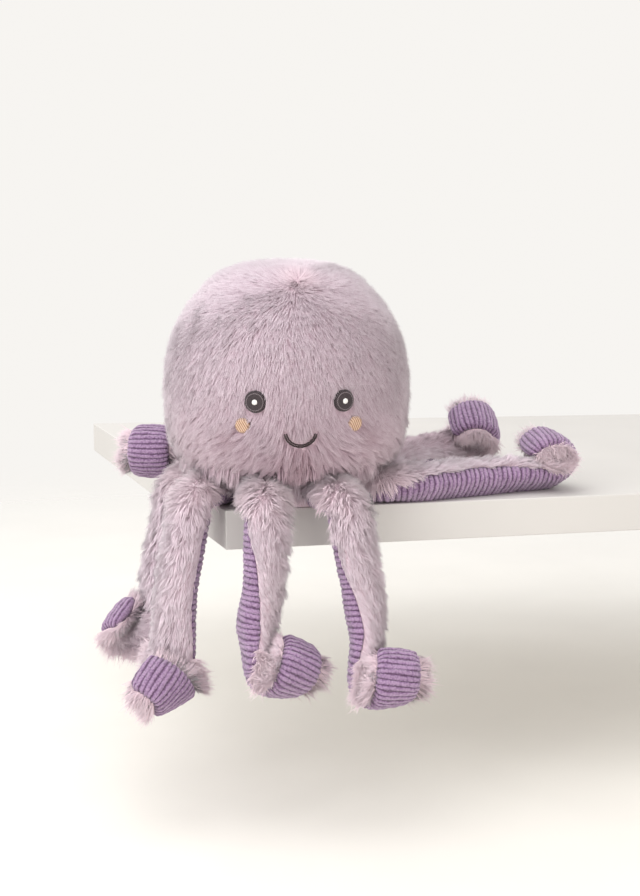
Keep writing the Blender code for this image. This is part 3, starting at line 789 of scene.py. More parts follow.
def head_outline(depth: float, rows: int) -> tuple[Array, Array]:
    """The head's outline from crown to underside, moved inward by depth.

    Args:
        depth: how far inside the solid's surface the line runs.
        rows: how many points it has.

    Returns:
        The (radius, height) points and the outward (radius, height) directions.
    """
    low = fold_height() + UNDER_HEAD_CLEARANCE
    table = np.array([(HEAD_RADIUS * r, low + (HEAD_TOP - low) * h) for r, h in HEAD_OUTLINE_SHARES])
    mirror = table[1] * np.array([-1.0, 1.0])
    padded = np.vstack([mirror, table, 2 * table[-1] - table[-2]])
    fine = []
    for k in range(len(table) - 1):
        t = np.linspace(0, 1, 12, endpoint=False)[:, None]
        fine.append(spline(padded[k], padded[k + 1], padded[k + 2], padded[k + 3], t))
    fine = np.vstack(fine + [table[-1:]])
    travel = np.concatenate(([0], np.cumsum(np.linalg.norm(np.diff(fine, axis=0), axis=1))))
    where = np.linspace(0, travel[-1], rows)
    line = np.stack([np.interp(where, travel, fine[:, i]) for i in (0, 1)], axis=1)
    tangent = unit(np.gradient(line, axis=0))
    outward = np.stack([-tangent[:, 1], tangent[:, 0]], axis=1)
    outward[0] = (0.0, 1.0)
    return line - outward * depth, outward


def spline(p0: Array, p1: Array, p2: Array, p3: Array, t: Array) -> Array:
    """A smooth curve from p1 to p2 that leaves and enters along its neighbours."""
    return 0.5 * (
        2 * p1 + (p2 - p0) * t + (2 * p0 - 5 * p1 + 4 * p2 - p3) * t**2 + (3 * p1 - p0 - 3 * p2 + p3) * t**3
    )


def core_height() -> float:
    """Height of each root's middle line above the seat."""
    return SEAT_CLEARANCE + CORDUROY_PLY + GAP + CORE_ROOT_RADIUS


def fold_height() -> float:
    """Height of the pile side's top at the root."""
    return core_height() + CORE_ROOT_RADIUS + GAP + PILE_PLY


def base_radius() -> float:
    """Outer radius of the base panel's wall."""
    return ROOT_RADIUS - CORE_ROOT_RADIUS - GAP


def on_circle(radius: Array, height: Array, turn: Array) -> Array:
    """Points at this radius, height and turn from the face's direction."""
    parts = (radius * np.sin(turn), -radius * np.cos(turn), height + 0 * turn)
    return np.stack(np.broadcast_arrays(*parts), axis=-1)


@dataclass
class FacePatch:
    """The place of an embroidered patch, which the pile is kept off."""

    turn: float
    height: float
    radius: float

    def frame(self) -> tuple[Array, Array, Array, Array]:
        """The patch's middle, and its directions across, up and outward."""
        line, outward = head_outline(0.0, 400)
        below_top = np.argmax(line[:, 0])
        order = np.arange(len(line))
        side = np.interp(-self.height, -line[:, 1], order)
        k = int(round(side)) if side > 0 else below_top
        radius = line[k, 0]
        out = on_circle(outward[k, 0], outward[k, 1], self.turn)
        across = unit(np.cross(np.array([0.0, 0.0, 1.0]), out))
        up = np.cross(out, across)
        return on_circle(radius, self.height, self.turn), across, up, out


class Head:
    """The stuffed ball: two pile panels, a base panel, its filling and its embroidered face."""

    def __init__(
        self, bent: FibrePattern, straight: FibrePattern, finishes: dict[Slot, bpy.types.Material]
    ) -> None:
        self.bent = bent
        self.straight = straight
        self.finishes = finishes
        self.eyes = [FacePatch(s * EYE_TURN, EYE_HEIGHT, EYE_RADIUS) for s in (-1, 1)]
        self.cheeks = [FacePatch(s * CHEEK_TURN, CHEEK_HEIGHT, CHEEK_RADIUS) for s in (-1, 1)]

    def build(self) -> None:
        """Makes every piece of the head."""
        self.build_panels()
        self.build_base()
        self.build_filling()
        self.build_pile()
        self.build_skirt()
        for side, eye in zip(("left", "right"), self.eyes):
            self.build_eye(side, eye)
        for side, cheek in zip(("left", "right"), self.cheeks):
            self.build_cheek(side, cheek)
        self.build_smile()

    def build_panels(self) -> None:
        """The two head panels' backing cloth, sewn together at the sides."""
        for name, middle in (("front", 0.0), ("back", math.pi)):
            outer, _ = head_outline(0.0042, 48)
            inner, _ = head_outline(0.0078, 48)
            section = np.vstack([outer, inner[::-1], outer[:1]])
            turns = middle + np.linspace(-math.pi / 2, math.pi / 2, 41)
            rows = on_circle(section[None, :, 0], section[None, :, 1], turns[:, None])
            rows += on_circle(GAP / 2, 0.0, np.array(middle))
            mesh = laid_grid("head_%s_cloth" % name, rows, {})
            piece = publish(mesh, "head_%s_cloth" % name, backing_cloth())
            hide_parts("head_%s_panel" % name)
            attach(piece, "head")
            LOG.info("head panel %s", name)

    def build_base(self) -> None:
        """The cup-shaped base panel that the head sits on."""
        radius = base_radius()
        rim = fold_height() + UNDER_HEAD_CLEARANCE - GAP
        section = np.array([
            (0.0, 0.0), (SEAT_RADIUS * 0.5, 0.0), (SEAT_RADIUS, 0.0),
            (radius - 0.004, 0.002), (radius - 0.001, 0.006),
            (radius, BASE_CORNER_HEIGHT), (radius + 0.0005, 0.024), (radius, rim), (radius - BASE_PLY, rim),
            (radius - BASE_PLY, BASE_CORNER_HEIGHT + 0.002), (SEAT_RADIUS - 0.002, BASE_PLY), (0.0, BASE_PLY),
        ])
        turns = np.linspace(0, 2 * math.pi, 65)
        rows = on_circle(section[None, :, 0], section[None, :, 1], turns[:, None])
        mesh = laid_grid("base_cloth", rows, {})
        piece = publish(mesh, "base_cloth", backing_cloth())
        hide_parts("base_panel")
        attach(piece, "head")
        LOG.info("base panel")

    def build_filling(self) -> None:
        """The fibre filling inside the head."""
        line, _ = head_outline(HEAD_PLY + GAP + 0.0006, 40)
        radius = base_radius() - BASE_PLY - GAP
        floor = BASE_PLY + GAP
        below = np.array([(radius, line[-1, 1]), (radius, 0.0145), (SEAT_RADIUS - 0.0025, floor), (0.0, floor)])
        section = np.vstack([line[line[:, 0] >= 0], below])
        section[0, 0] = 0.0
        turns = np.linspace(0, 2 * math.pi, 65)
        rows = on_circle(section[None, :, 0], section[None, :, 1], turns[:, None])
        mesh = laid_grid("head_fibre_filling", rows, {})
        piece = publish(mesh, "head_fibre_filling", self.finishes[Slot.FILLING])
        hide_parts("head_filling")
        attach(piece, "head")
        LOG.info("head filling")

    def covers_face(self, points: Array) -> Array:
        """Which points lie over an eye, a cheek or the smile."""
        covered = np.zeros(len(points), bool)
        for patch, margin in [(e, 0.0003) for e in self.eyes] + [(c, -0.0010) for c in self.cheeks]:
            centre, across, up, out = patch.frame()
            off = points - centre
            covered |= (np.hypot(off @ across, off @ up) < patch.radius + margin) & (off @ out > -0.03)
        turn = np.arctan2(points[:, 0], -points[:, 1])
        across = turn * np.hypot(points[:, 0], points[:, 1])
        reach = np.hypot(across, points[:, 2] - SMILE_CENTRE_HEIGHT)
        low = SMILE_CENTRE_HEIGHT - SMILE_RADIUS * math.cos(SMILE_HALF_ANGLE) + 0.0015
        covered |= (np.abs(reach - SMILE_RADIUS) < 0.0021) & (points[:, 2] < low) & (points[:, 1] < 0)
        return covered

    def clear_of_face(self, fibres: Fibres) -> Fibres:
        """The fibres, each cut where it would reach over an eye, a cheek or the smile."""
        count = len(fibres.base)
        length = np.ones(count)
        for share in np.linspace(1.0, 0.0, 11):
            points = (
                fibres.base * (1 - share) ** 2 + 2 * fibres.bend * share * (1 - share) + fibres.tip * share**2
            )
            length[self.covers_face(points)] = share
        share = np.maximum(length - 0.06, 0.01)[:, None]
        share = np.where(length[:, None] < 1.0, share, 1.0)
        tip = fibres.base * (1 - share) ** 2 + 2 * fibres.bend * share * (1 - share) + fibres.tip * share**2
        bend = fibres.base + (fibres.bend - fibres.base) * share
        cut = Fibres(fibres.base, bend, tip, fibres.facing, fibres.radius, fibres.tone, fibres.painted_shade)
        return cut.kept(length > 0.3)

    def pile_lie(
        self, turn: Array, height: Array, base: Array, normal: Array, down: Array, around: Array
    ) -> Array:
        """The way the head's pile lies: away from a parting high on the front, and outward low down.

        Args:
            turn: turns from the face's direction.
            height: heights above the seat.
            base: where the fibres are rooted.
            normal: outward directions there.
            down: directions down along the head's surface.
            around: directions level around the head.

        Returns:
            Directions along the surface.
        """
        front = smooth_step(0.15, 0.75, np.cos(turn))
        low = 1 - smooth_step(0.060, 0.125, height)
        side = np.tanh(turn / 0.22)
        angle = side * front * low * math.radians(62)
        lift = smooth_step(0.0, 0.6, np.abs(np.sin(turn))) * front * low
        lie = down * np.cos(angle)[:, None] + around * np.sin(angle)[:, None]
        lie[:, 2] += 0.15 * lift
        away = unit(base - PARTING)
        away = unit(away - normal * np.sum(away * normal, axis=1, keepdims=True))
        crown = smooth_step(0.150, 0.212, height)[:, None]
        lie = unit(lie * (1 - crown) + away * crown)
        gather = np.exp(-((turn / 0.10) ** 2)) * (1 - smooth_step(0.048, 0.072, height)) * (np.cos(turn) > 0)
        pull = -np.sign(turn) * gather * 0.8
        return unit(lie + around * pull[:, None])

    def build_pile(self) -> None:
        """The head's pile, in pieces around the crown and the sides."""
        total = 112000
        pieces = 3
        line, outward = head_outline(0.0040, 400)
        step = np.linalg.norm(np.diff(line, axis=0), axis=1)
        crown = smooth_step(0.150, 0.215, (line[1:, 1] + line[:-1, 1]) / 2)
        ring = (line[1:, 0] + line[:-1, 0]) / 2 * step * (1 + 0.5 * crown)
        share = np.concatenate(([0], np.cumsum(ring)))
        share /= share[-1]
        for piece_index in range(pieces):
            rng = np.random.default_rng(100 + piece_index)
            count = total // pieces
            place = np.interp(rng.random(count), share, np.arange(len(share)))
            where = np.arange(len(line))
            radius = np.interp(place, where, line[:, 0])
            height = np.interp(place, where, line[:, 1])
            out_r = np.interp(place, where, outward[:, 0])
            out_z = np.interp(place, where, outward[:, 1])
            turn = -math.pi + 2 * math.pi * (piece_index + rng.random(count)) / pieces
            turn = (turn + math.pi) % (2 * math.pi) - math.pi
            base = on_circle(radius, height, turn)
            normal = on_circle(out_r, out_z, turn)
            down = on_circle(out_z, -out_r, turn)
            around = np.stack([np.cos(turn), np.sin(turn), 0 * turn], axis=-1)
            lie = self.pile_lie(turn, height, base, normal, down, around)
            parting = np.exp(-((np.linalg.norm(base - PARTING, axis=1) / 0.014) ** 2))
            lie = turned(lie, normal, (0.16 + 0.2 * parting) * drift(base, 90, 0.022))
            crown = smooth_step(0.150, 0.215, height)
            low = 1 - smooth_step(0.062, 0.105, height)
            lie = turned(lie, normal, 0.35 * low * drift(base, 92, 0.015))
            length = rng.uniform(0.0095, 0.0135, count) * (1 + 0.10 * drift(base, 91, 0.016))
            length *= 1 + 0.40 * low
            rise = np.radians(rng.normal(25, 6, count) + 4 * crown + 12 * low + 12 * parting)
            # Painted shade from the map above, less painted light that makes the pile paler where it parts.
            painted_shade = self.painted_shade(turn, height, rng) - 0.6 * parting
            fibres = grow(base, normal, lie, length, rise, 0.00038, rng, painted_shade, 0.06)
            fibres = fibres.clumped(200 + piece_index, 0.045, 0.26 + 0.40 * low)
            fibres = self.clear_of_face(fibres.straightened())
            mesh = fibres.mesh("head_pile_%d" % (piece_index + 1), self.straight)
            piece = publish(mesh, mesh.name, self.finishes[Slot.PILE])
            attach(piece, "head")
            LOG.info("head pile %d: %d fibres", piece_index + 1, len(fibres.base))

    def painted_shade(self, turn: Array, height: Array, rng: np.random.Generator) -> Array:
        """Painted shade on the head's pile: darker and pinker low on the head and on the side away from the key
        light, in the dimples beside the cheeks, and most of all in the gather under the smile.
        """
        off = np.hypot(turn / 0.15, (height - 0.049) / 0.016)
        gathered = 0.70 * np.exp(-(off**2)) * rng.uniform(0.3, 1.0, len(turn))
        low = 0.46 * (1 - smooth_step(0.045, 0.150, height)) * rng.uniform(0.4, 1.0, len(turn))
        low += 0.30 * smooth_step(0.3, 1.3, turn) * (1 - smooth_step(0.045, 0.110, height))
        beside = np.hypot((np.abs(turn) - CHEEK_TURN - 0.11) / 0.085, (height - CHEEK_HEIGHT + 0.008) / 0.010)
        low += 0.50 * np.exp(-(beside**2)) * rng.uniform(0.3, 1.0, len(turn))
        return np.clip(gathered + low, 0.0, 0.9)

    def build_skirt(self) -> None:
        """Long pile on the base panel, and the fringe that hangs under the head between the tentacles."""
        rng = np.random.default_rng(300)
        count = 3000
        turn = rng.uniform(-math.pi, math.pi, count)
        height = rng.uniform(0.010, 0.042, count)
        base = on_circle(base_radius() + 0.0005, height, turn)
        normal = on_circle(np.ones(count), 0.0, turn)
        lie = np.tile(np.array([0.0, 0.0, -1.0]), (count, 1))
        length = np.minimum(rng.uniform(0.013, 0.019, count), height / 0.75)
        wall = grow(base, normal, lie, length, np.radians(rng.normal(46, 10, count)), 0.00055, rng)
        count = 4200
        turn = rng.integers(0, 8, count) * math.pi / 4 + rng.normal(0.0, math.radians(7), count)
        reach = rng.uniform(0.070, 0.100, count)
        line, outward = head_outline(0.0035, 400)
        under = line[:, 1] < 0.060
        order = np.argsort(line[under, 0])
        table = (line[under][order], outward[under][order])
        base = on_circle(reach, np.interp(reach, table[0][:, 0], table[0][:, 1]), turn)
        normal = unit(on_circle(np.interp(reach, table[0][:, 0], table[1][:, 0]), -np.ones(count), turn))
        lie = unit(on_circle(np.full(count, 0.25), -0.8, turn))
        middle = np.exp(-((turn / 0.25) ** 2))
        length = rng.uniform(0.012, 0.020, count) * (1 - 0.25 * middle)
        facing = unit(on_circle(np.ones(count), 0.15, turn)) * 0.4
        rise = np.radians(rng.normal(38, 16, count))
        # Painted shade on the fringe under the head, most at the front.
        under_head_shade = rng.uniform(0.15, 0.55, count) + 0.30 * middle
        lie = turned(lie, normal, (0.9 + 0.4 * middle) * drift(base, 303, 0.012))
        fringe = grow(base, normal, lie, length, rise, 0.00048, rng, under_head_shade, 0.22, facing)
        fibres = joined([wall, fringe]).clumped(301, 0.06, 0.55)
        fibres = fibres.kept(fibres.tip[:, 2] > 0.0004)
        mesh = fibres.mesh("base_pile", self.bent)
        piece = publish(mesh, "base_pile", self.finishes[Slot.PILE])
        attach(piece, "head")
        LOG.info("base pile: %d fibres", len(fibres.base))

    def disc(
        self, name: str, patch: FacePatch, radius: float,
        profile: Callable[[Array, Array], tuple[Array, Array]], rings: int, finish: bpy.types.Material,
    ) -> bpy.types.Object:
        """A low dome of stitches on the head's side.

        Args:
            name: name of the new piece.
            patch: where it is.
            radius: its outer radius.
            profile: gives height and thread ridge for each (radius share, turn).
            rings: how many rings the dome has.
            finish: its material.

        Returns:
            The new object.
        """
        centre, across, up, out = patch.frame()
        turns = np.linspace(0, 2 * math.pi, 97)
        share = np.concatenate((np.linspace(0.0, 1.0, rings), [1.0, 0.0]))
        high, ridge = profile(share[:rings][:, None], turns[None, :])
        low = np.full((2, len(turns)), -0.0030)
        high = np.vstack([high, low])
        ridge = np.vstack([ridge, 0 * low])
        x = radius * share[:, None] * np.cos(turns)[None, :]
        y = radius * share[:, None] * np.sin(turns)[None, :]
        sag = x**2 / (2 * HEAD_RADIUS)
        points = centre + x[..., None] * across + y[..., None] * up + (high - sag)[..., None] * out
        mesh = laid_grid(name, points, {"ridge": ridge})
        return publish(mesh, name, finish)

    def build_eye(self, side: str, patch: FacePatch) -> None:
        """One eye: a dark embroidered disc, a paler ring of stitches inside its edge, and white stitches."""

        def dome(share: Array, turns: Array) -> tuple[Array, Array]:
            ridge = 0.5 + 0.5 * np.cos(64 * turns + 9 * share)
            edge = smooth_step(0.0, 0.2, 1 - share)
            high = -0.0012 + 0.0024 * edge + 0.00022 * ridge * edge
            return high + 0 * turns, ridge * np.ones_like(high)

        def ring(share: Array, turns: Array) -> tuple[Array, Array]:
            band = np.exp(-(((share - 0.86) / 0.085) ** 2))
            ridge = 0.5 + 0.5 * np.cos(64 * turns + 4 * share)
            high = -0.0010 + 0.00262 * band + 0.0002 * ridge * band
            return high + 0 * turns, ridge * np.ones_like(high)

        radius = EYE_RADIUS + STITCH_OVERLAP
        eye = self.disc("eye_%s_stitches" % side, patch, radius, dome, 14, self.finishes[Slot.EYE])
        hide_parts("eye_%s" % side)
        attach(eye, "head")
        band = self.disc("eye_%s_ring" % side, patch, EYE_RADIUS * 0.92, ring, 22, EYE_RING.material())
        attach(band, "head")

        def spot(share: Array, turns: Array) -> tuple[Array, Array]:
            ridge = 0.5 + 0.5 * np.cos(10 * share * np.cos(turns))
            high = 0.0012 + 0.0011 * np.sqrt(np.maximum(1 - share**2, 0.0)) + 0.00015 * ridge
            return high, ridge

        white = self.disc("eye_%s_highlight" % side, patch, 0.0026, spot, 8, self.finishes[Slot.HIGHLIGHT])
        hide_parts("eye_highlight_%s" % side)
        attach(white, "head")
        LOG.info("eye %s", side)

    def build_cheek(self, side: str, patch: FacePatch) -> None:
        """One cheek of satin stitches laid side by side."""

        def satin(share: Array, turns: Array) -> tuple[Array, Array]:
            across = share * np.cos(turns - 0.5) * CHEEK_RADIUS
            ridge = 0.5 + 0.5 * np.cos(2 * math.pi * across / 0.0019)
            edge = smooth_step(0.0, 0.25, 1 - share)
            return -0.0012 + 0.0020 * edge + 0.00045 * ridge * edge, ridge

        radius = CHEEK_RADIUS + STITCH_OVERLAP
        cheek = self.disc("cheek_%s_stitches" % side, patch, radius, satin, 26, self.finishes[Slot.CHEEK])
        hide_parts("cheek_%s" % side)
        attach(cheek, "head")
        LOG.info("cheek %s", side)

    def build_smile(self) -> None:
        """The smile: two rows of twisted thread side by side."""
        for row, offset in (("upper", -0.00095), ("lower", 0.00095)):
            count = 90
            share = np.linspace(-1, 1, count)
            angle = share * SMILE_HALF_ANGLE
            arc = SMILE_RADIUS + offset
            height = SMILE_CENTRE_HEIGHT - arc * np.cos(angle)
            line, outward = head_outline(0.0, 400)
            order = np.argsort(line[:, 1])
            radius = np.interp(height, line[order, 1], line[order, 0])
            out_r = np.interp(height, line[order, 1], outward[order, 0])
            out_z = np.interp(height, line[order, 1], outward[order, 1])
            turn = arc * np.sin(angle) / radius
            middle = on_circle(radius, height, turn)
            out = unit(on_circle(out_r, out_z, turn))
            along = unit(np.gradient(middle, axis=0))
            across = unit(np.cross(along, out))
            around = np.linspace(0, 2 * math.pi, 15)
            twist = around[None, :] * 3 + np.arange(count)[:, None] * 0.75
            thick = 0.00084 * (1 + 0.16 * np.cos(twist))
            end = np.sqrt(np.clip(1 - np.abs(share) ** 24, 0.03, 1.0))[:, None]
            points = (
                middle[:, None, :] + out[:, None, :] * 0.0016
                + across[:, None, :] * (thick * end * np.cos(around))[..., None]
                + out[:, None, :] * (thick * end * np.sin(around))[..., None]
            )
            ridge = 0.5 + 0.5 * np.cos(twist)
            mesh = laid_grid("smile_%s_row" % row, points, {"ridge": ridge})
            piece = publish(mesh, mesh.name, self.finishes[Slot.SMILE])
            if row == "upper":
                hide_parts("smile")
            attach(piece, "head")
        LOG.info("smile")


def backing_cloth() -> bpy.types.Material:
    """The backing's material, made once."""
    return bpy.data.materials.get(BACKING.name) or BACKING.material()


@dataclass
class Route:
    """A tentacle's middle line with its frame and its sizes, from its root to the end of its roll."""

    name: str
    middle: Array = field(init=False)
    along: Array = field(init=False)
    up: Array = field(init=False)
    half_width: Array = field(init=False)
    half_depth: Array = field(init=False)
    pile: Array = field(init=False)
    in_roll: Array = field(init=False)
    travel: Array = field(init=False)
    fold: Array = field(init=False)
    heading: Array = field(init=False)

    def __post_init__(self) -> None:
        rows = np.array(PATH_SHARES[self.name])
        points = rows[:, :3] * PATH_REACH
        points[:, 2] += core_height()
        sides = unit(rows[:, 3:])
        root = on_circle(ROOT_RADIUS, core_height(), np.array(math.radians(TENTACLE_TURNS[self.name])))
        self.heading = unit(points[0] - root)
        self.fold = points[0].copy()
        self.fold[2] = fold_height()
        entry = unit(np.array(ROLL_ENTRY_SHARES[self.name]))
        parts = [self.root_part(root, points[0]), self.run_part(points, sides, entry)]
        parts.append(self.roll_part(points[-1], entry, sides[-1]))
        middle, side, sizes, rolled = (np.vstack([p[i] for p in parts]) for i in range(4))
        travel = np.concatenate(([0], np.cumsum(np.linalg.norm(np.diff(middle, axis=0), axis=1))))
        keep = np.concatenate(([True], np.diff(travel) > 1e-6))
        travel, middle, side, sizes, rolled = (v[keep] for v in (travel, middle, side, sizes, rolled))
        count = int(travel[-1] / 0.0008)
        even = np.linspace(0, travel[-1], count)

        def at(values: Array) -> Array:
            return np.stack([np.interp(even, travel, values[:, i]) for i in range(values.shape[1])], axis=1)

        self.travel = even
        self.middle = at(middle)
        self.along = unit(soften(np.gradient(self.middle, axis=0), 5))
        side = soften(at(side), 9)
        side = side - self.along * np.sum(side * self.along, axis=1, keepdims=True)
        self.up = unit(side)
        sizes = soften(at(sizes), 9)
        self.half_width, self.half_depth, self.pile = sizes.T
        self.in_roll = at(rolled)[:, 0]

    def root_part(self, root: Array, fold: Array) -> tuple[Array, Array, Array, Array]:
        """The straight part under the head's edge."""
        start = root - self.heading * 0.012
        share = np.linspace(0, 1, 20, endpoint=False)[:, None]
        middle = start + (fold - start) * share
        side = np.tile(np.array([0.0, 0.0, 1.0]), (20, 1))
        sizes = np.tile(np.array(swell_at(0.0)), (20, 1))
        return middle, side, sizes, np.zeros((20, 1))

    def run_part(self, points: Array, sides: Array, entry: Array) -> tuple[Array, Array, Array, Array]:
        """The free part, from the fold to where the roll begins."""
        steps = np.linalg.norm(np.diff(points, axis=0), axis=1)
        before = points[0] - self.heading * steps[0]
        after = points[-1] + entry * steps[-1]
        padded = np.vstack([before, points, after])
        middles, ups, sizes = [], [], []
        travelled = 0.0
        for k, step in enumerate(steps):
            for t in np.linspace(0, 1, 24, endpoint=False):
                middles.append(spline(*padded[k : k + 4], t))
                ups.append(sides[k] + (sides[k + 1] - sides[k]) * t)
                sizes.append(swell_at((travelled + t * step) / steps.sum()))
            travelled += step
        return np.array(middles), np.array(ups), np.array(sizes), np.zeros((len(middles), 1))

    def roll_part(self, start: Array, entry: Array, side: Array) -> tuple[Array, Array, Array, Array]:
        """The rolled end, which winds in a little as it goes."""
        inward = unit(side - entry * (side @ entry))
        first_axis = np.cross(entry, inward)
        last_axis = unit(np.array(ROLL_LEAN_SHARES.get(self.name, first_axis)))
        lean = math.acos(max(-1.0, min(1.0, float(first_axis @ last_axis))))
        middle = start.copy()
        along = entry.copy()
        count = 84
        step = ROLL_TURN / count
        size = ROLL_SIZE_SHARES.get(self.name, 1.0)
        middles, ups, sizes = [], [], []
        for i in range(count + 1):
            share = i / count
            part = min(share / LEAN_SHARE, 1.0)
            if lean > 1e-6:
                axis = math.sin((1 - part) * lean) * first_axis + math.sin(part * lean) * last_axis
                axis = unit(axis)
            else:
                axis = first_axis
            along = unit(along - axis * (along @ axis))
            late = max(share - 0.5, 0.0) * 2
            width = CORE_ROLL[0] + (CORE_TIP[0] - CORE_ROLL[0]) * late
            depth = CORE_ROLL[1] + (CORE_TIP[1] - CORE_ROLL[1]) * share
            middles.append(middle.copy())
            ups.append(np.cross(axis, along))
            sizes.append((width, depth, PILE_PLY_ROLL))
            halfway = turned(along, axis, np.array(step / 2))
            middle = middle + halfway * step * size * (ROLL_RADIUS + (ROLL_TIP_RADIUS - ROLL_RADIUS) * share)
            along = turned(along, axis, np.array(step))
        rolled = np.linspace(0, 1, count + 1)[:, None] * 0.98 + 0.02
        return np.array(middles), np.array(ups), np.array(sizes), rolled

    @property
    def way_out(self) -> Array:
        """The way out of its fold, between its heading and the way to the middle of its run."""
        return unit(self.heading + unit(self.middle.mean(axis=0) - self.fold))

    @property
    def across(self) -> Array:
        """Directions across the tentacle."""
        return np.cross(self.along, self.up)

    def at(self, values: Array, travel: Array) -> Array:
        """Values of the route at these lengths along it."""
        if values.ndim == 1:
            return np.interp(travel, self.travel, values)
        return np.stack([np.interp(travel, self.travel, values[:, i]) for i in range(3)], axis=-1)


def soften(values: Array, reach: int) -> Array:
    """Values along a line, each averaged with its neighbours."""
    kernel = np.hanning(2 * reach + 3)[1:-1]
    kernel /= kernel.sum()
    before, after = np.repeat(values[:1], reach, axis=0), np.repeat(values[-1:], reach, axis=0)
    padded = np.concatenate([before, values, after])
    return np.stack([np.convolve(padded[:, i], kernel, "valid") for i in range(values.shape[1])], axis=1)


def swell_at(share: float) -> tuple[float, float, float]:
    """Core half width, core half depth and pile ply at this share of a run."""
    table = np.array(SWELL_SHARES)
    to_middle = np.interp(share, table[:, 0], table[:, 1])
    to_roll = np.interp(share, table[:, 0], table[:, 2])
    width = CORE_ROOT_RADIUS + (CORE_MIDDLE[0] - CORE_ROOT_RADIUS) * to_middle
    depth = CORE_ROOT_RADIUS + (CORE_MIDDLE[1] - CORE_ROOT_RADIUS) * to_middle
    width += (CORE_ROLL[0] - width) * to_roll
    depth += (CORE_ROLL[1] - depth) * to_roll
    return width, depth, PILE_PLY + (PILE_PLY_ROLL - PILE_PLY) * to_roll


@dataclass(frozen=True)
class Bulge:
    """A place where the filling pushes the corduroy out, in shares of the route."""

    start: float
    middle: float
    end: float
    amount: float


BULGES: dict[str, tuple[Bulge, ...]] = {
    "tentacle_front_left": (Bulge(0.10, 0.30, 0.50, 0.0035), Bulge(0.36, 0.53, 0.66, 0.0050)),
    "tentacle_front_right": (Bulge(0.30, 0.50, 0.62, 0.0035),),
}
# Painted shade: how much darker the pile of a tentacle is coloured where it lies in the head's shadow.
PAINTED_SHADE_BY_TENTACLE = {"tentacle_right_back": 0.85}
# The side whose pile lies flat at the seam, and how far past the fold that begins.
TRIMMED_SIDES = {
    "tentacle_front_left": (1.0, 0.012),
    "tentacle_front_right": (1.0, 0.034),
    "tentacle_left_front": (-1.0, 0.030),
}


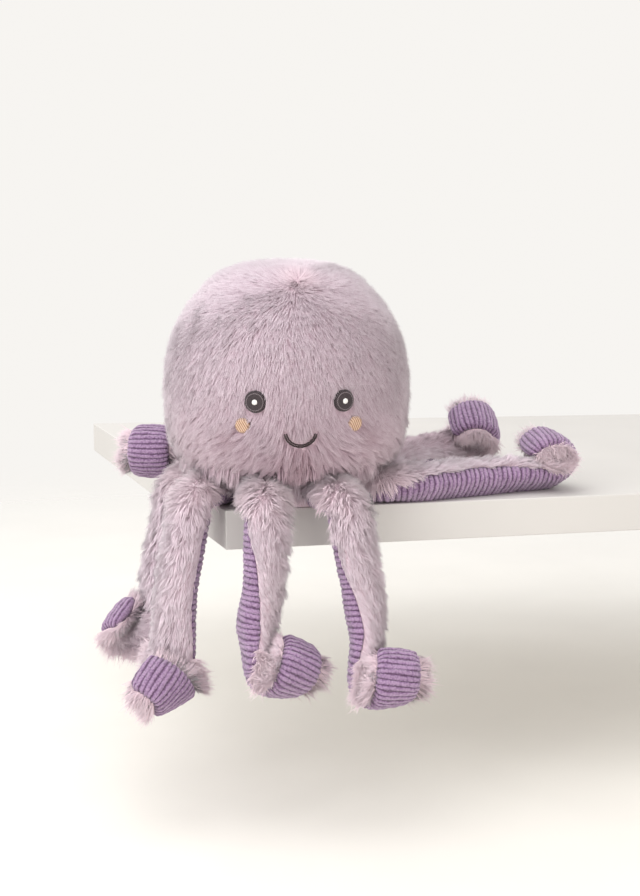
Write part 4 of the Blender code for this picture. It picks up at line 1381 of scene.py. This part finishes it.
class Tentacle:
    """One stuffed tentacle: a corduroy side, a long-pile side and the filling between them."""

    BEND_BEFORE = 0.010
    BEND_AFTER = 0.022
    WALE_PITCH = 0.0053
    WALE_DEPTH = 0.0012
    COLUMNS = 22
    PHASES = (0.0, 0.12, 0.3, 0.5, 0.7, 0.88)
    HEIGHTS = (0.0, 0.55, 0.9, 1.0, 0.9, 0.55)

    def __init__(
        self, name: str, seed: int, bent: FibrePattern, straight: FibrePattern,
        finishes: dict[Slot, bpy.types.Material],
    ) -> None:
        self.name = name
        self.seed = seed
        self.bent = bent
        self.straight = straight
        self.finishes = finishes
        self.route = Route(name)
        self.root = name + "_root"
        self.run = name + "_run"

    def build(self) -> None:
        """Makes the tentacle's pieces."""
        self.build_corduroy()
        self.build_backing()
        self.build_filling()
        self.build_pile()

    def mend(self, piece: bpy.types.Object, slot: Slot, *nodes: str) -> None:
        """Hides the solids that the piece stands in for, and bakes its place into its mesh."""
        if nodes:
            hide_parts(*nodes)
        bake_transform(piece)

    def section(
        self, travel: Array, width: Array, depth: Array, side: float, lift: float, turns: Array
    ) -> Array:
        """Points of a half round on one side of the middle line, row by row, squarer on the roll.

        Args:
            travel: length along the route of each row.
            width: half width of each row.
            depth: depth of each row.
            side: 1 for the pile side, -1 for the corduroy side.
            lift: least distance from the middle line.
            turns: turns round the section, one for each column.

        Returns:
            Rows x columns x 3 points.
        """
        route = self.route
        across = side * width[:, None] * np.cos(turns)[None, :]
        power = 2.0 + 1.5 * smooth_step(-0.2, 0.15, route.at(route.in_roll, travel))[:, None]
        share = (1 - np.abs(np.cos(turns))[None, :] ** power) ** (1 / power)
        high = side * np.maximum(depth[:, None] * share, lift)
        frame_across = route.at(route.across, travel)
        frame_up = route.at(route.up, travel)
        middle = route.at(route.middle, travel)
        points = middle[:, None, :] + frame_across[:, None, :] * across[..., None]
        return points + frame_up[:, None, :] * high[..., None]

    def closing(self, travel: Array, reach: float = 0.006) -> Array:
        """How far the section has narrowed where it closes at the tip, from 1 down to nearly 0."""
        left = np.clip((self.route.travel[-1] - travel) / reach, 0.0, 1.0)
        return np.sqrt(np.maximum(1 - (1 - left) ** 2, 0.015))

    def lengths(self, pitch: float, end: float = 0.0) -> Array:
        """Lengths along the route for the rows of a laid grid, closer together at the tip."""
        last = self.route.travel[-1] - end
        return np.union1d(np.linspace(end, last, int(last / pitch)), last - 0.006 * np.linspace(0, 1, 6))

    def wale_rows(self) -> tuple[Array, Array, Array]:
        """Where the corduroy's rows are: lengths along the route, ridge heights, and wale numbers."""
        route = self.route
        depth = route.half_depth + GAP + CORDUROY_PLY
        outer = route.middle - route.up * depth[:, None]
        length = np.concatenate(([0], np.cumsum(np.linalg.norm(np.diff(outer, axis=0), axis=1))))
        count = int(round(length[-1] / self.WALE_PITCH))
        rng = np.random.default_rng(self.seed)
        edges = np.linspace(0, length[-1], count + 1)
        edges[1:-1] += rng.uniform(-0.06, 0.06, count - 1) * self.WALE_PITCH
        rows, heights, numbers = [], [], []
        for k in range(count):
            for phase, height in zip(self.PHASES, self.HEIGHTS):
                rows.append(edges[k] + phase * (edges[k + 1] - edges[k]))
                heights.append(height)
                numbers.append(k)
        rows.append(length[-1])
        heights.append(0.0)
        numbers.append(count - 1)
        return np.interp(rows, length, route.travel), np.array(heights), np.array(numbers)

    def build_corduroy(self) -> None:
        """The corduroy side, with its wales across the tentacle."""
        route = self.route
        travel, height, number = self.wale_rows()
        rng = np.random.default_rng(self.seed + 1)
        closing = self.closing(travel)
        width = (route.at(route.half_width, travel) + GAP + PLY_SIDE) * closing
        depth = (route.at(route.half_depth, travel) + GAP + CORDUROY_PLY) * closing
        whole = route.travel[-1]
        turns = 0.5 * math.pi * (1 - np.cos(np.linspace(0, math.pi, self.COLUMNS)))
        turns = 0.4 * turns + 0.6 * np.linspace(0, math.pi, self.COLUMNS)
        swing = rng.uniform(-0.5, 0.5, (number.max() + 1, 3))
        relief = (height[:, None] - 0.72) * self.WALE_DEPTH * np.ones_like(turns)[None, :]
        relief += 0.00035 * np.sin(turns[None, :] * 9 + swing[number, 0][:, None] * 12) * height[:, None]
        outer = self.section(travel, width, depth, -1.0, GAP / 2, turns)
        inner_width, inner_depth = width - 0.0022 * closing, depth - 0.0024 * closing
        inner = self.section(travel, inner_width, inner_depth, -1.0, GAP / 2, turns[::-3])
        across = self.route.at(route.across, travel)
        up = route.at(route.up, travel)
        along = route.at(route.along, travel)
        out = unit(np.cross(np.gradient(outer, axis=1), along[:, None, :]))
        down = -np.cos(turns)[None, :, None] * across[:, None, :]
        down = down - np.sin(turns)[None, :, None] * up[:, None, :]
        out = out * np.sign(np.sum(out * down, axis=2, keepdims=True))
        outer = outer + out * relief[..., None]
        sway = 0.0006 * np.sin(turns[None, :] * 2 + swing[number, 1][:, None] * 6)
        outer = outer + along[:, None, :] * sway[..., None]
        for bulge in BULGES.get(self.name, ()):
            share = travel / whole
            amount = bulge.amount * smooth_step(bulge.start, bulge.middle, share)
            amount = amount * (1 - smooth_step(bulge.middle, bulge.end, share))
            outer = outer - up[:, None, :] * (amount[:, None] * np.sin(turns)[None, :])[..., None]
        points = np.concatenate([outer, inner, outer[:, :1]], axis=1)
        columns = points.shape[1]
        wale = np.zeros(points.shape[:2])
        wale[:, :self.COLUMNS] = height[:, None]
        wale[:, -1] = height
        tone = np.clip(0.5 + 0.5 * swing[number, 2], 0, 1)[:, None] * np.ones(columns)[None, :]
        mesh = laid_grid(self.name + "_corduroy", points, {"wale": wale, "tone": tone})
        piece = publish(mesh, mesh.name, self.finishes[Slot.CORDUROY])
        self.mend(piece, Slot.CORDUROY, self.root + "_corduroy", self.run + "_corduroy")

    def build_backing(self) -> None:
        """The pile side's backing cloth."""
        route = self.route
        travel = self.lengths(0.004)
        closing = self.closing(travel)
        width = (route.at(route.half_width, travel) + GAP + PLY_SIDE - 0.0005) * closing
        depth = (route.at(route.half_depth, travel) + GAP + 0.35 * route.at(route.pile, travel)) * closing
        turns = np.linspace(0, math.pi, 17)
        outer = self.section(travel, width, depth, 1.0, GAP / 2, turns)
        inner_width, inner_depth = width - 0.0022 * closing, depth - 0.0016 * closing
        inner = self.section(travel, inner_width, inner_depth, 1.0, GAP / 2, turns[::-2])
        points = np.concatenate([outer, inner, outer[:, :1]], axis=1)
        mesh = laid_grid(self.name + "_pile_cloth", points, {})
        piece = publish(mesh, mesh.name, backing_cloth())
        self.mend(piece, Slot.PILE, self.root + "_pile", self.run + "_pile")

    def build_filling(self) -> None:
        """The filling inside the tentacle."""
        route = self.route
        travel = self.lengths(0.005, 0.001)
        turns = np.linspace(0, 2 * math.pi, 21)
        width = route.at(route.half_width, travel) - 0.0004
        depth = route.at(route.half_depth, travel) - 0.0004
        share = (travel - travel[0]) / (travel[-1] - travel[0])
        ends = np.sqrt(np.clip(1 - np.abs(2 * share - 1) ** 30, 0.05, 1.0)) * self.closing(travel, 0.010)
        wide, deep = (width * ends)[:, None] * np.cos(turns), (depth * ends)[:, None] * np.sin(turns)
        across = route.at(route.across, travel)[:, None, :] * wide[..., None]
        up = route.at(route.up, travel)[:, None, :] * deep[..., None]
        points = route.at(route.middle, travel)[:, None, :] + across + up
        mesh = laid_grid(self.name + "_fibre_filling", points, {})
        piece = publish(mesh, mesh.name, self.finishes[Slot.FILLING])
        self.mend(piece, Slot.FILLING, self.root + "_filling", self.run + "_filling")

    def pile_on_cloth(self, rng: np.random.Generator, total: int, longest: float, radius: float) -> Fibres:
        """Pile on the whole pile side, from one seam over the top to the other.

        Args:
            rng: the random source.
            total: how many fibres there are.
            longest: length of the longest fibres.
            radius: mean radius of a fibre at its root.

        Returns:
            The fibres.
        """
        route = self.route
        travel = rng.uniform(0.0, route.travel[-1], total)
        turn = rng.uniform(-0.08, math.pi + 0.08, total)
        rolled = route.at(route.in_roll, travel)
        curled = (rolled > 0) * 1.0
        fold = float(route.travel[np.argmin(np.linalg.norm(route.middle - route.fold, axis=1))])
        trim, after = TRIMMED_SIDES.get(self.name, (0.0, 0.0))
        close = np.clip(trim * np.cos(turn), 0.0, 1.0) ** 2 * (1 - curled)
        close *= smooth_step(fold + after, fold + after + 0.02, travel)
        closing = self.closing(travel)
        width = (route.at(route.half_width, travel) + GAP + PLY_SIDE - 0.0008) * closing
        depth = (route.at(route.half_depth, travel) + GAP + 0.35 * route.at(route.pile, travel)) * closing
        across = route.at(route.across, travel)
        up = route.at(route.up, travel)
        along = route.at(route.along, travel)
        middle = route.at(route.middle, travel)
        cos, sin = np.cos(turn)[:, None], np.sin(turn)[:, None]
        base = middle + across * width[:, None] * cos + up * depth[:, None] * np.maximum(sin, 0.02)
        normal = unit(across * cos * depth[:, None] + up * sin * width[:, None])
        seam = np.abs(cos[:, 0])
        lie = along * (1 - 0.5 * curled)[:, None] + across * cos * 0.35
        lie = lie + across * np.sign(cos) * (curled * seam * 1.2)[:, None] + up * (1.1 * close)[:, None]
        shoulder = np.exp(-(((travel - fold + 0.006) / 0.022) ** 2))
        lie = lie * (1 - 0.75 * shoulder)[:, None] + across * (np.tanh(cos[:, 0] / 0.25) * shoulder)[:, None]
        lie[:, 2] -= 0.25
        lie = unit(lie - normal * np.sum(lie * normal, axis=1, keepdims=True))
        stray = 0.42 * drift(base, self.seed + 4, 0.026) + 0.40 * drift(base, self.seed + 12, 0.009)
        lie = turned(lie, normal, (1 - 0.67 * close) * stray)
        shoulder = np.exp(-(((travel - fold - 0.010) / 0.026) ** 2))
        length = rng.uniform(0.72, 1.0, total) * longest * (1 + 0.20 * shoulder)
        length *= 1 + 0.15 * drift(base, self.seed + 5, 0.014)
        length *= (1 - 0.2 * curled * (1 - seam**2)) * (1 - 0.35 * close)
        rise = np.radians(rng.normal(37, 9, total) + 8 * shoulder * seam - 22 * close)
        facing = unit(normal + np.array([0.0, 0.0, 0.22]))
        # Painted shade on a tentacle in the head's shadow, and painted light that makes the pile paler at the
        # shoulder by the fold.
        shade_and_light = PAINTED_SHADE_BY_TENTACLE.get(self.name, 0.0) * rng.uniform(0.4, 1.0, total) * (1 - seam**4)
        shade_and_light -= 0.6 * np.exp(-(((travel - fold - 0.004) / 0.020) ** 2)) * (1 - shade_and_light)
        return grow(base, normal, lie, length, rise, radius, rng, shade_and_light, 0.12, facing)

    def build_pile(self) -> None:
        """The long pile over a dense short one, the pile at the roll's ends, and the tip's tuft."""
        rng = np.random.default_rng(self.seed + 2)
        whole = self.route.travel[-1]
        long_ones = self.pile_on_cloth(rng, int(whole * (16000)), 0.0165, 0.00054)
        long_ones = joined([long_ones, self.tip_tuft(rng)]).clumped(self.seed + 3, 0.07, 0.48)
        caps = self.end_caps(rng, 1500, 0.0225, 0.00041)
        ends = [caps, self.roll_hearts(rng, 500)]
        fibres = joined([long_ones, joined(ends).clumped(self.seed + 8, 0.2, 0.2)])
        dense = self.pile_on_cloth(rng, int(whole * (42000)), 0.0135, 0.00045)
        caps = self.end_caps(rng, 3900, 0.0185, 0.00048)
        ends = [caps, self.roll_hearts(rng, 2500)]
        tufts = joined(ends).clumped(self.seed + 11, 0.10, 0.3)
        dense = joined([dense.clumped(self.seed + 6, 0.09, 0.26), tufts])
        dense = dense.straightened()
        for kind, batch, pattern in (("long", fibres, self.bent), ("dense", dense, self.straight)):
            mesh = batch.mesh("%s_%s_pile" % (self.name, kind), pattern)
            piece = publish(mesh, mesh.name, self.finishes[Slot.PILE])
            self.mend(piece, Slot.PILE)
            LOG.info("%s: %d %s fibres on %.0f mm", self.name, len(batch.base), kind, whole / MM)

    def end_facing(self, across: Array) -> Array:
        """Directions that light the pile at the roll's ends, weaker than the pile elsewhere."""
        return unit(across * 0.5 + np.array([0.0, -0.55, 0.6])) * 0.6

    def end_caps(self, rng: np.random.Generator, count: int, longest: float, radius: float) -> Fibres:
        """Pile that spills out sideways over both seams of the roll.

        Args:
            rng: the random source.
            count: how many fibres there are.
            longest: length of the longest fibres.
            radius: mean radius of a fibre at its root.

        Returns:
            The fibres.
        """
        route = self.route
        start = float(np.interp(0.02, route.in_roll, route.travel)) - 0.014
        travel = rng.uniform(start, route.travel[-1], count)
        side = rng.choice([-1.0, 1.0], count)
        reach = rng.uniform(0.88, 1.02, count)
        closing = self.closing(travel)
        width = (route.at(route.half_width, travel) + PLY_SIDE) * reach * closing
        depth = route.at(route.half_depth, travel) * np.sqrt(np.maximum(1 - reach**2, 0.0)) * closing
        depth += rng.uniform(-0.0010, 0.0012, count)
        across = route.at(route.across, travel) * side[:, None]
        up = route.at(route.up, travel)
        along = route.at(route.along, travel)
        base = route.at(route.middle, travel) + across * width[:, None] + up * depth[:, None]
        sway = rng.uniform(-0.85, 0.55, count) + 0.35 * drift(base, self.seed + 9, 0.010)
        ahead = 0.35 * drift(base, self.seed + 10, 0.010)
        normal = unit(across + up * sway[:, None] + along * ahead[:, None])
        swirl = rng.normal(0.15, 0.75, (count, 1))
        lie = unit(along * swirl + up * rng.uniform(-0.5, 0.5, (count, 1)) + across * 0.5)
        length = rng.uniform(0.62, 1.0, count) * longest * (1 + 0.20 * drift(base, self.seed + 7, 0.010))
        rise = np.radians(rng.normal(64, 16, count))
        facing = self.end_facing(across)
        # Painted light: the pile at the roll's ends is made paler, standing in for light that passes through
        # the fibres.
        pale = rng.uniform(-0.9, -0.2, count)
        return grow(base, normal, lie, length, rise, radius, rng, pale, 0.14, facing)

    def roll_hearts(self, rng: np.random.Generator, count: int) -> Fibres:
        """Pile that meets in the roll's open middle, so that it is closed at both of its ends."""
        route = self.route
        start = float(np.interp(0.02, route.in_roll, route.travel)) - 0.010
        travel = rng.uniform(start, route.travel[-1], count)
        side = rng.choice([-1.0, 1.0], count)
        reach = rng.uniform(0.15, 1.0, count)
        width = (route.at(route.half_width, travel) + PLY_SIDE) * reach
        depth = route.at(route.half_depth, travel) * np.sqrt(1 - reach**2)
        depth = depth + 0.35 * route.at(route.pile, travel)
        across = route.at(route.across, travel) * side[:, None]
        up = route.at(route.up, travel)
        along = route.at(route.along, travel)
        base = route.at(route.middle, travel) + across * width[:, None] + up * depth[:, None]
        normal = unit(up + across * rng.uniform(0.1, 0.5, (count, 1)))
        lie = unit(across * rng.uniform(0.0, 1.0, (count, 1)) + along * rng.normal(0.0, 0.6, (count, 1)))
        length = rng.uniform(0.013, 0.023, count) * (1 + 0.20 * drift(base, self.seed + 7, 0.010))
        rise = np.radians(rng.normal(70, 12, count))
        facing = self.end_facing(across)
        # Painted light: these fibres are made a little paler, as at the roll's ends.
        return grow(base, normal, lie, length, rise, 0.00046, rng, np.full(count, -0.2), 0.04, facing)

    def tip_tuft(self, rng: np.random.Generator) -> Fibres:
        """Pile that sticks out past the roll's end."""
        route = self.route
        count = 500
        travel = route.travel[-1] - 0.006 * rng.random(count) ** 1.5
        turn = rng.uniform(-0.1, math.pi + 0.1, count)
        closing = self.closing(travel)
        width = (route.at(route.half_width, travel) + GAP + PLY_SIDE) * closing
        depth = (route.at(route.half_depth, travel) + GAP) * closing
        across = route.at(route.across, travel)
        up = route.at(route.up, travel)
        along = route.at(route.along, travel)
        base = route.at(route.middle, travel)
        base = base + across * (width * np.cos(turn))[:, None] + up * (depth * np.sin(turn))[:, None]
        normal = across * np.cos(turn)[:, None] + up * np.sin(turn)[:, None]
        normal = unit(normal + along * (1 - closing)[:, None])
        length = rng.uniform(0.005, 0.012, count)
        rise = np.radians(rng.normal(45, 16, count))
        lie = unit(along + rng.normal(0.0, 0.5, (count, 3)))
        return grow(base, normal, lie, length, rise, 0.0005, rng, None, 0.12, normal * 0.15)


class Stage:
    """The plain ledge, the floor below it, the soft lights and the camera."""

    LEDGE_THICKNESS = 0.038
    FLOOR_DROP = 0.30

    def build(self) -> None:
        """Makes the whole stage."""
        self.build_ledge()
        self.build_floor()
        self.build_lights()
        self.build_world()
        self.build_camera()
        bpy.context.scene.view_settings.view_transform = "Standard"

    def build_ledge(self) -> None:
        """A pale board whose front edge the tentacles hang over."""
        work = bmesh.new()
        bmesh.ops.create_cube(work, size=1.0)
        corners = {
            (-1, -1): (-0.066, -0.0665), (1, -1): (0.80, 0.016),
            (1, 1): (0.80, 0.60), (-1, 1): (-0.2024, 0.60),
        }
        for vert in work.verts:
            key = (1 if vert.co.x > 0 else -1, 1 if vert.co.y > 0 else -1)
            x, y = corners[key]
            vert.co = Vector((x, y, 0.0 if vert.co.z > 0 else -self.LEDGE_THICKNESS))
        bmesh.ops.bevel(work, geom=work.edges[:], offset=0.0012, segments=3, affect="EDGES", profile=0.5)
        for face in work.faces:
            face.smooth = False
        mesh = bpy.data.meshes.new("ledge")
        work.to_mesh(mesh)
        work.free()
        publish(mesh, "ledge", LEDGE_PAINT.material())

    def build_floor(self) -> None:
        """The pale floor well below."""
        work = bmesh.new()
        bmesh.ops.create_grid(work, x_segments=1, y_segments=1, size=6.0)
        bmesh.ops.translate(work, verts=work.verts, vec=(0.0, 0.0, -self.FLOOR_DROP))
        mesh = bpy.data.meshes.new("floor")
        work.to_mesh(mesh)
        work.free()
        publish(mesh, "floor", FLOOR_PAINT.material())

    def light(
        self, name: str, place: Sequence[float], target: Sequence[float], size: float, power: float,
        tint: tuple[float, float, float] = (1.0, 1.0, 1.0),
    ) -> None:
        """One square soft light that faces a point."""
        data = bpy.data.lights.new(name, "AREA")
        data.shape = "SQUARE"
        data.size = size
        data.energy = power
        data.color = tint
        made = bpy.data.objects.new(name, data)
        bpy.context.scene.collection.objects.link(made)
        made.location = place
        made.rotation_mode = "QUATERNION"
        made.rotation_quaternion = (Vector(place) - Vector(target)).to_track_quat("Z", "Y")

    def build_lights(self) -> None:
        """A broad key from the front's upper left, soft light from above and behind, and a weak fill."""
        self.light("key", (-1.75, -1.35, 1.15), (0.0, 0.0, 0.02), 1.8, 27.0)
        self.light("top", (-0.35, -0.45, 2.1), (0.0, -0.05, 0.0), 1.8, 20.0)
        self.light("fill", (1.0, -2.0, 0.1), (0.1, 0.0, -0.05), 1.8, 8.5, (1.0, 0.90, 0.84))
        self.light("rim", (-0.8, 1.6, 1.4), (0.0, 0.0, 0.08), 1.4, 6.0)

    def build_world(self) -> None:
        """Even pale light all round, seen as white by the camera."""
        world = bpy.data.worlds.new("studio")
        bpy.context.scene.world = world
        world.use_nodes = True
        tree = world.node_tree
        tree.nodes.clear()
        path = tree.nodes.new("ShaderNodeLightPath")
        seen = tree.nodes.new("ShaderNodeBackground")
        seen.inputs["Color"].default_value = (0.93, 0.91, 0.88, 1.0)
        seen.inputs["Strength"].default_value = 1.0
        glow = tree.nodes.new("ShaderNodeBackground")
        glow.inputs["Color"].default_value = (1.0, 0.985, 0.97, 1.0)
        glow.inputs["Strength"].default_value = 0.90
        mixer = tree.nodes.new("ShaderNodeMixShader")
        output = tree.nodes.new("ShaderNodeOutputWorld")
        mirrored = tree.nodes.new("ShaderNodeMath")
        mirrored.operation = "MAXIMUM"
        tree.links.new(path.outputs["Is Glossy Ray"], mirrored.inputs[0])
        tree.links.new(path.outputs["Is Transmission Ray"], mirrored.inputs[1])
        shown = tree.nodes.new("ShaderNodeMath")
        shown.operation = "MAXIMUM"
        tree.links.new(path.outputs["Is Camera Ray"], shown.inputs[0])
        tree.links.new(mirrored.outputs[0], shown.inputs[1])
        tree.links.new(shown.outputs[0], mixer.inputs[0])
        tree.links.new(glow.outputs[0], mixer.inputs[1])
        tree.links.new(seen.outputs[0], mixer.inputs[2])
        tree.links.new(mixer.outputs[0], output.inputs["Surface"])

    def build_camera(self) -> None:
        """The camera at the photograph's angle."""
        data = bpy.data.cameras.new("camera")
        data.lens = LENS
        data.sensor_width = SENSOR
        data.sensor_fit = "AUTO"
        made = bpy.data.objects.new("camera", data)
        bpy.context.scene.collection.objects.link(made)
        right = np.array([math.cos(CAMERA_TURN), math.sin(CAMERA_TURN), 0.0])
        level = np.array([-math.sin(CAMERA_TURN), math.cos(CAMERA_TURN), 0.0])
        forward = level * math.cos(CAMERA_TILT) - np.array([0.0, 0.0, 1.0]) * math.sin(CAMERA_TILT)
        up = np.cross(right, forward)
        turn = Matrix((tuple(right), tuple(up), tuple(-forward))).transposed().to_4x4()
        turn.translation = Vector(CAMERA_PLACE)
        made.matrix_world = turn
        data.clip_start = 0.05
        data.clip_end = 60.0
        bpy.context.scene.camera = made


def main() -> None:
    """Builds the classes in order, and reports each piece."""
    logging.basicConfig(level=logging.INFO, format="%(message)s")
    bent, straight = FibrePattern(True), FibrePattern(False)
    finishes = {
        Slot.PILE: PILE.material(),
        Slot.CORDUROY: CORDUROY.material(),
        Slot.FILLING: FILLING.material(),
        Slot.EYE: EYE_THREAD.material(),
        Slot.HIGHLIGHT: WHITE_THREAD.material(),
        Slot.CHEEK: CHEEK_THREAD.material(),
        Slot.SMILE: SMILE_THREAD.material(),
    }
    Stage().build()
    Head(bent, straight, finishes).build()
    for index, name in enumerate(TENTACLE_TURNS):
        Tentacle(name, 1000 + 10 * index, bent, straight, finishes).build()


if __name__ == "__main__":
    main()
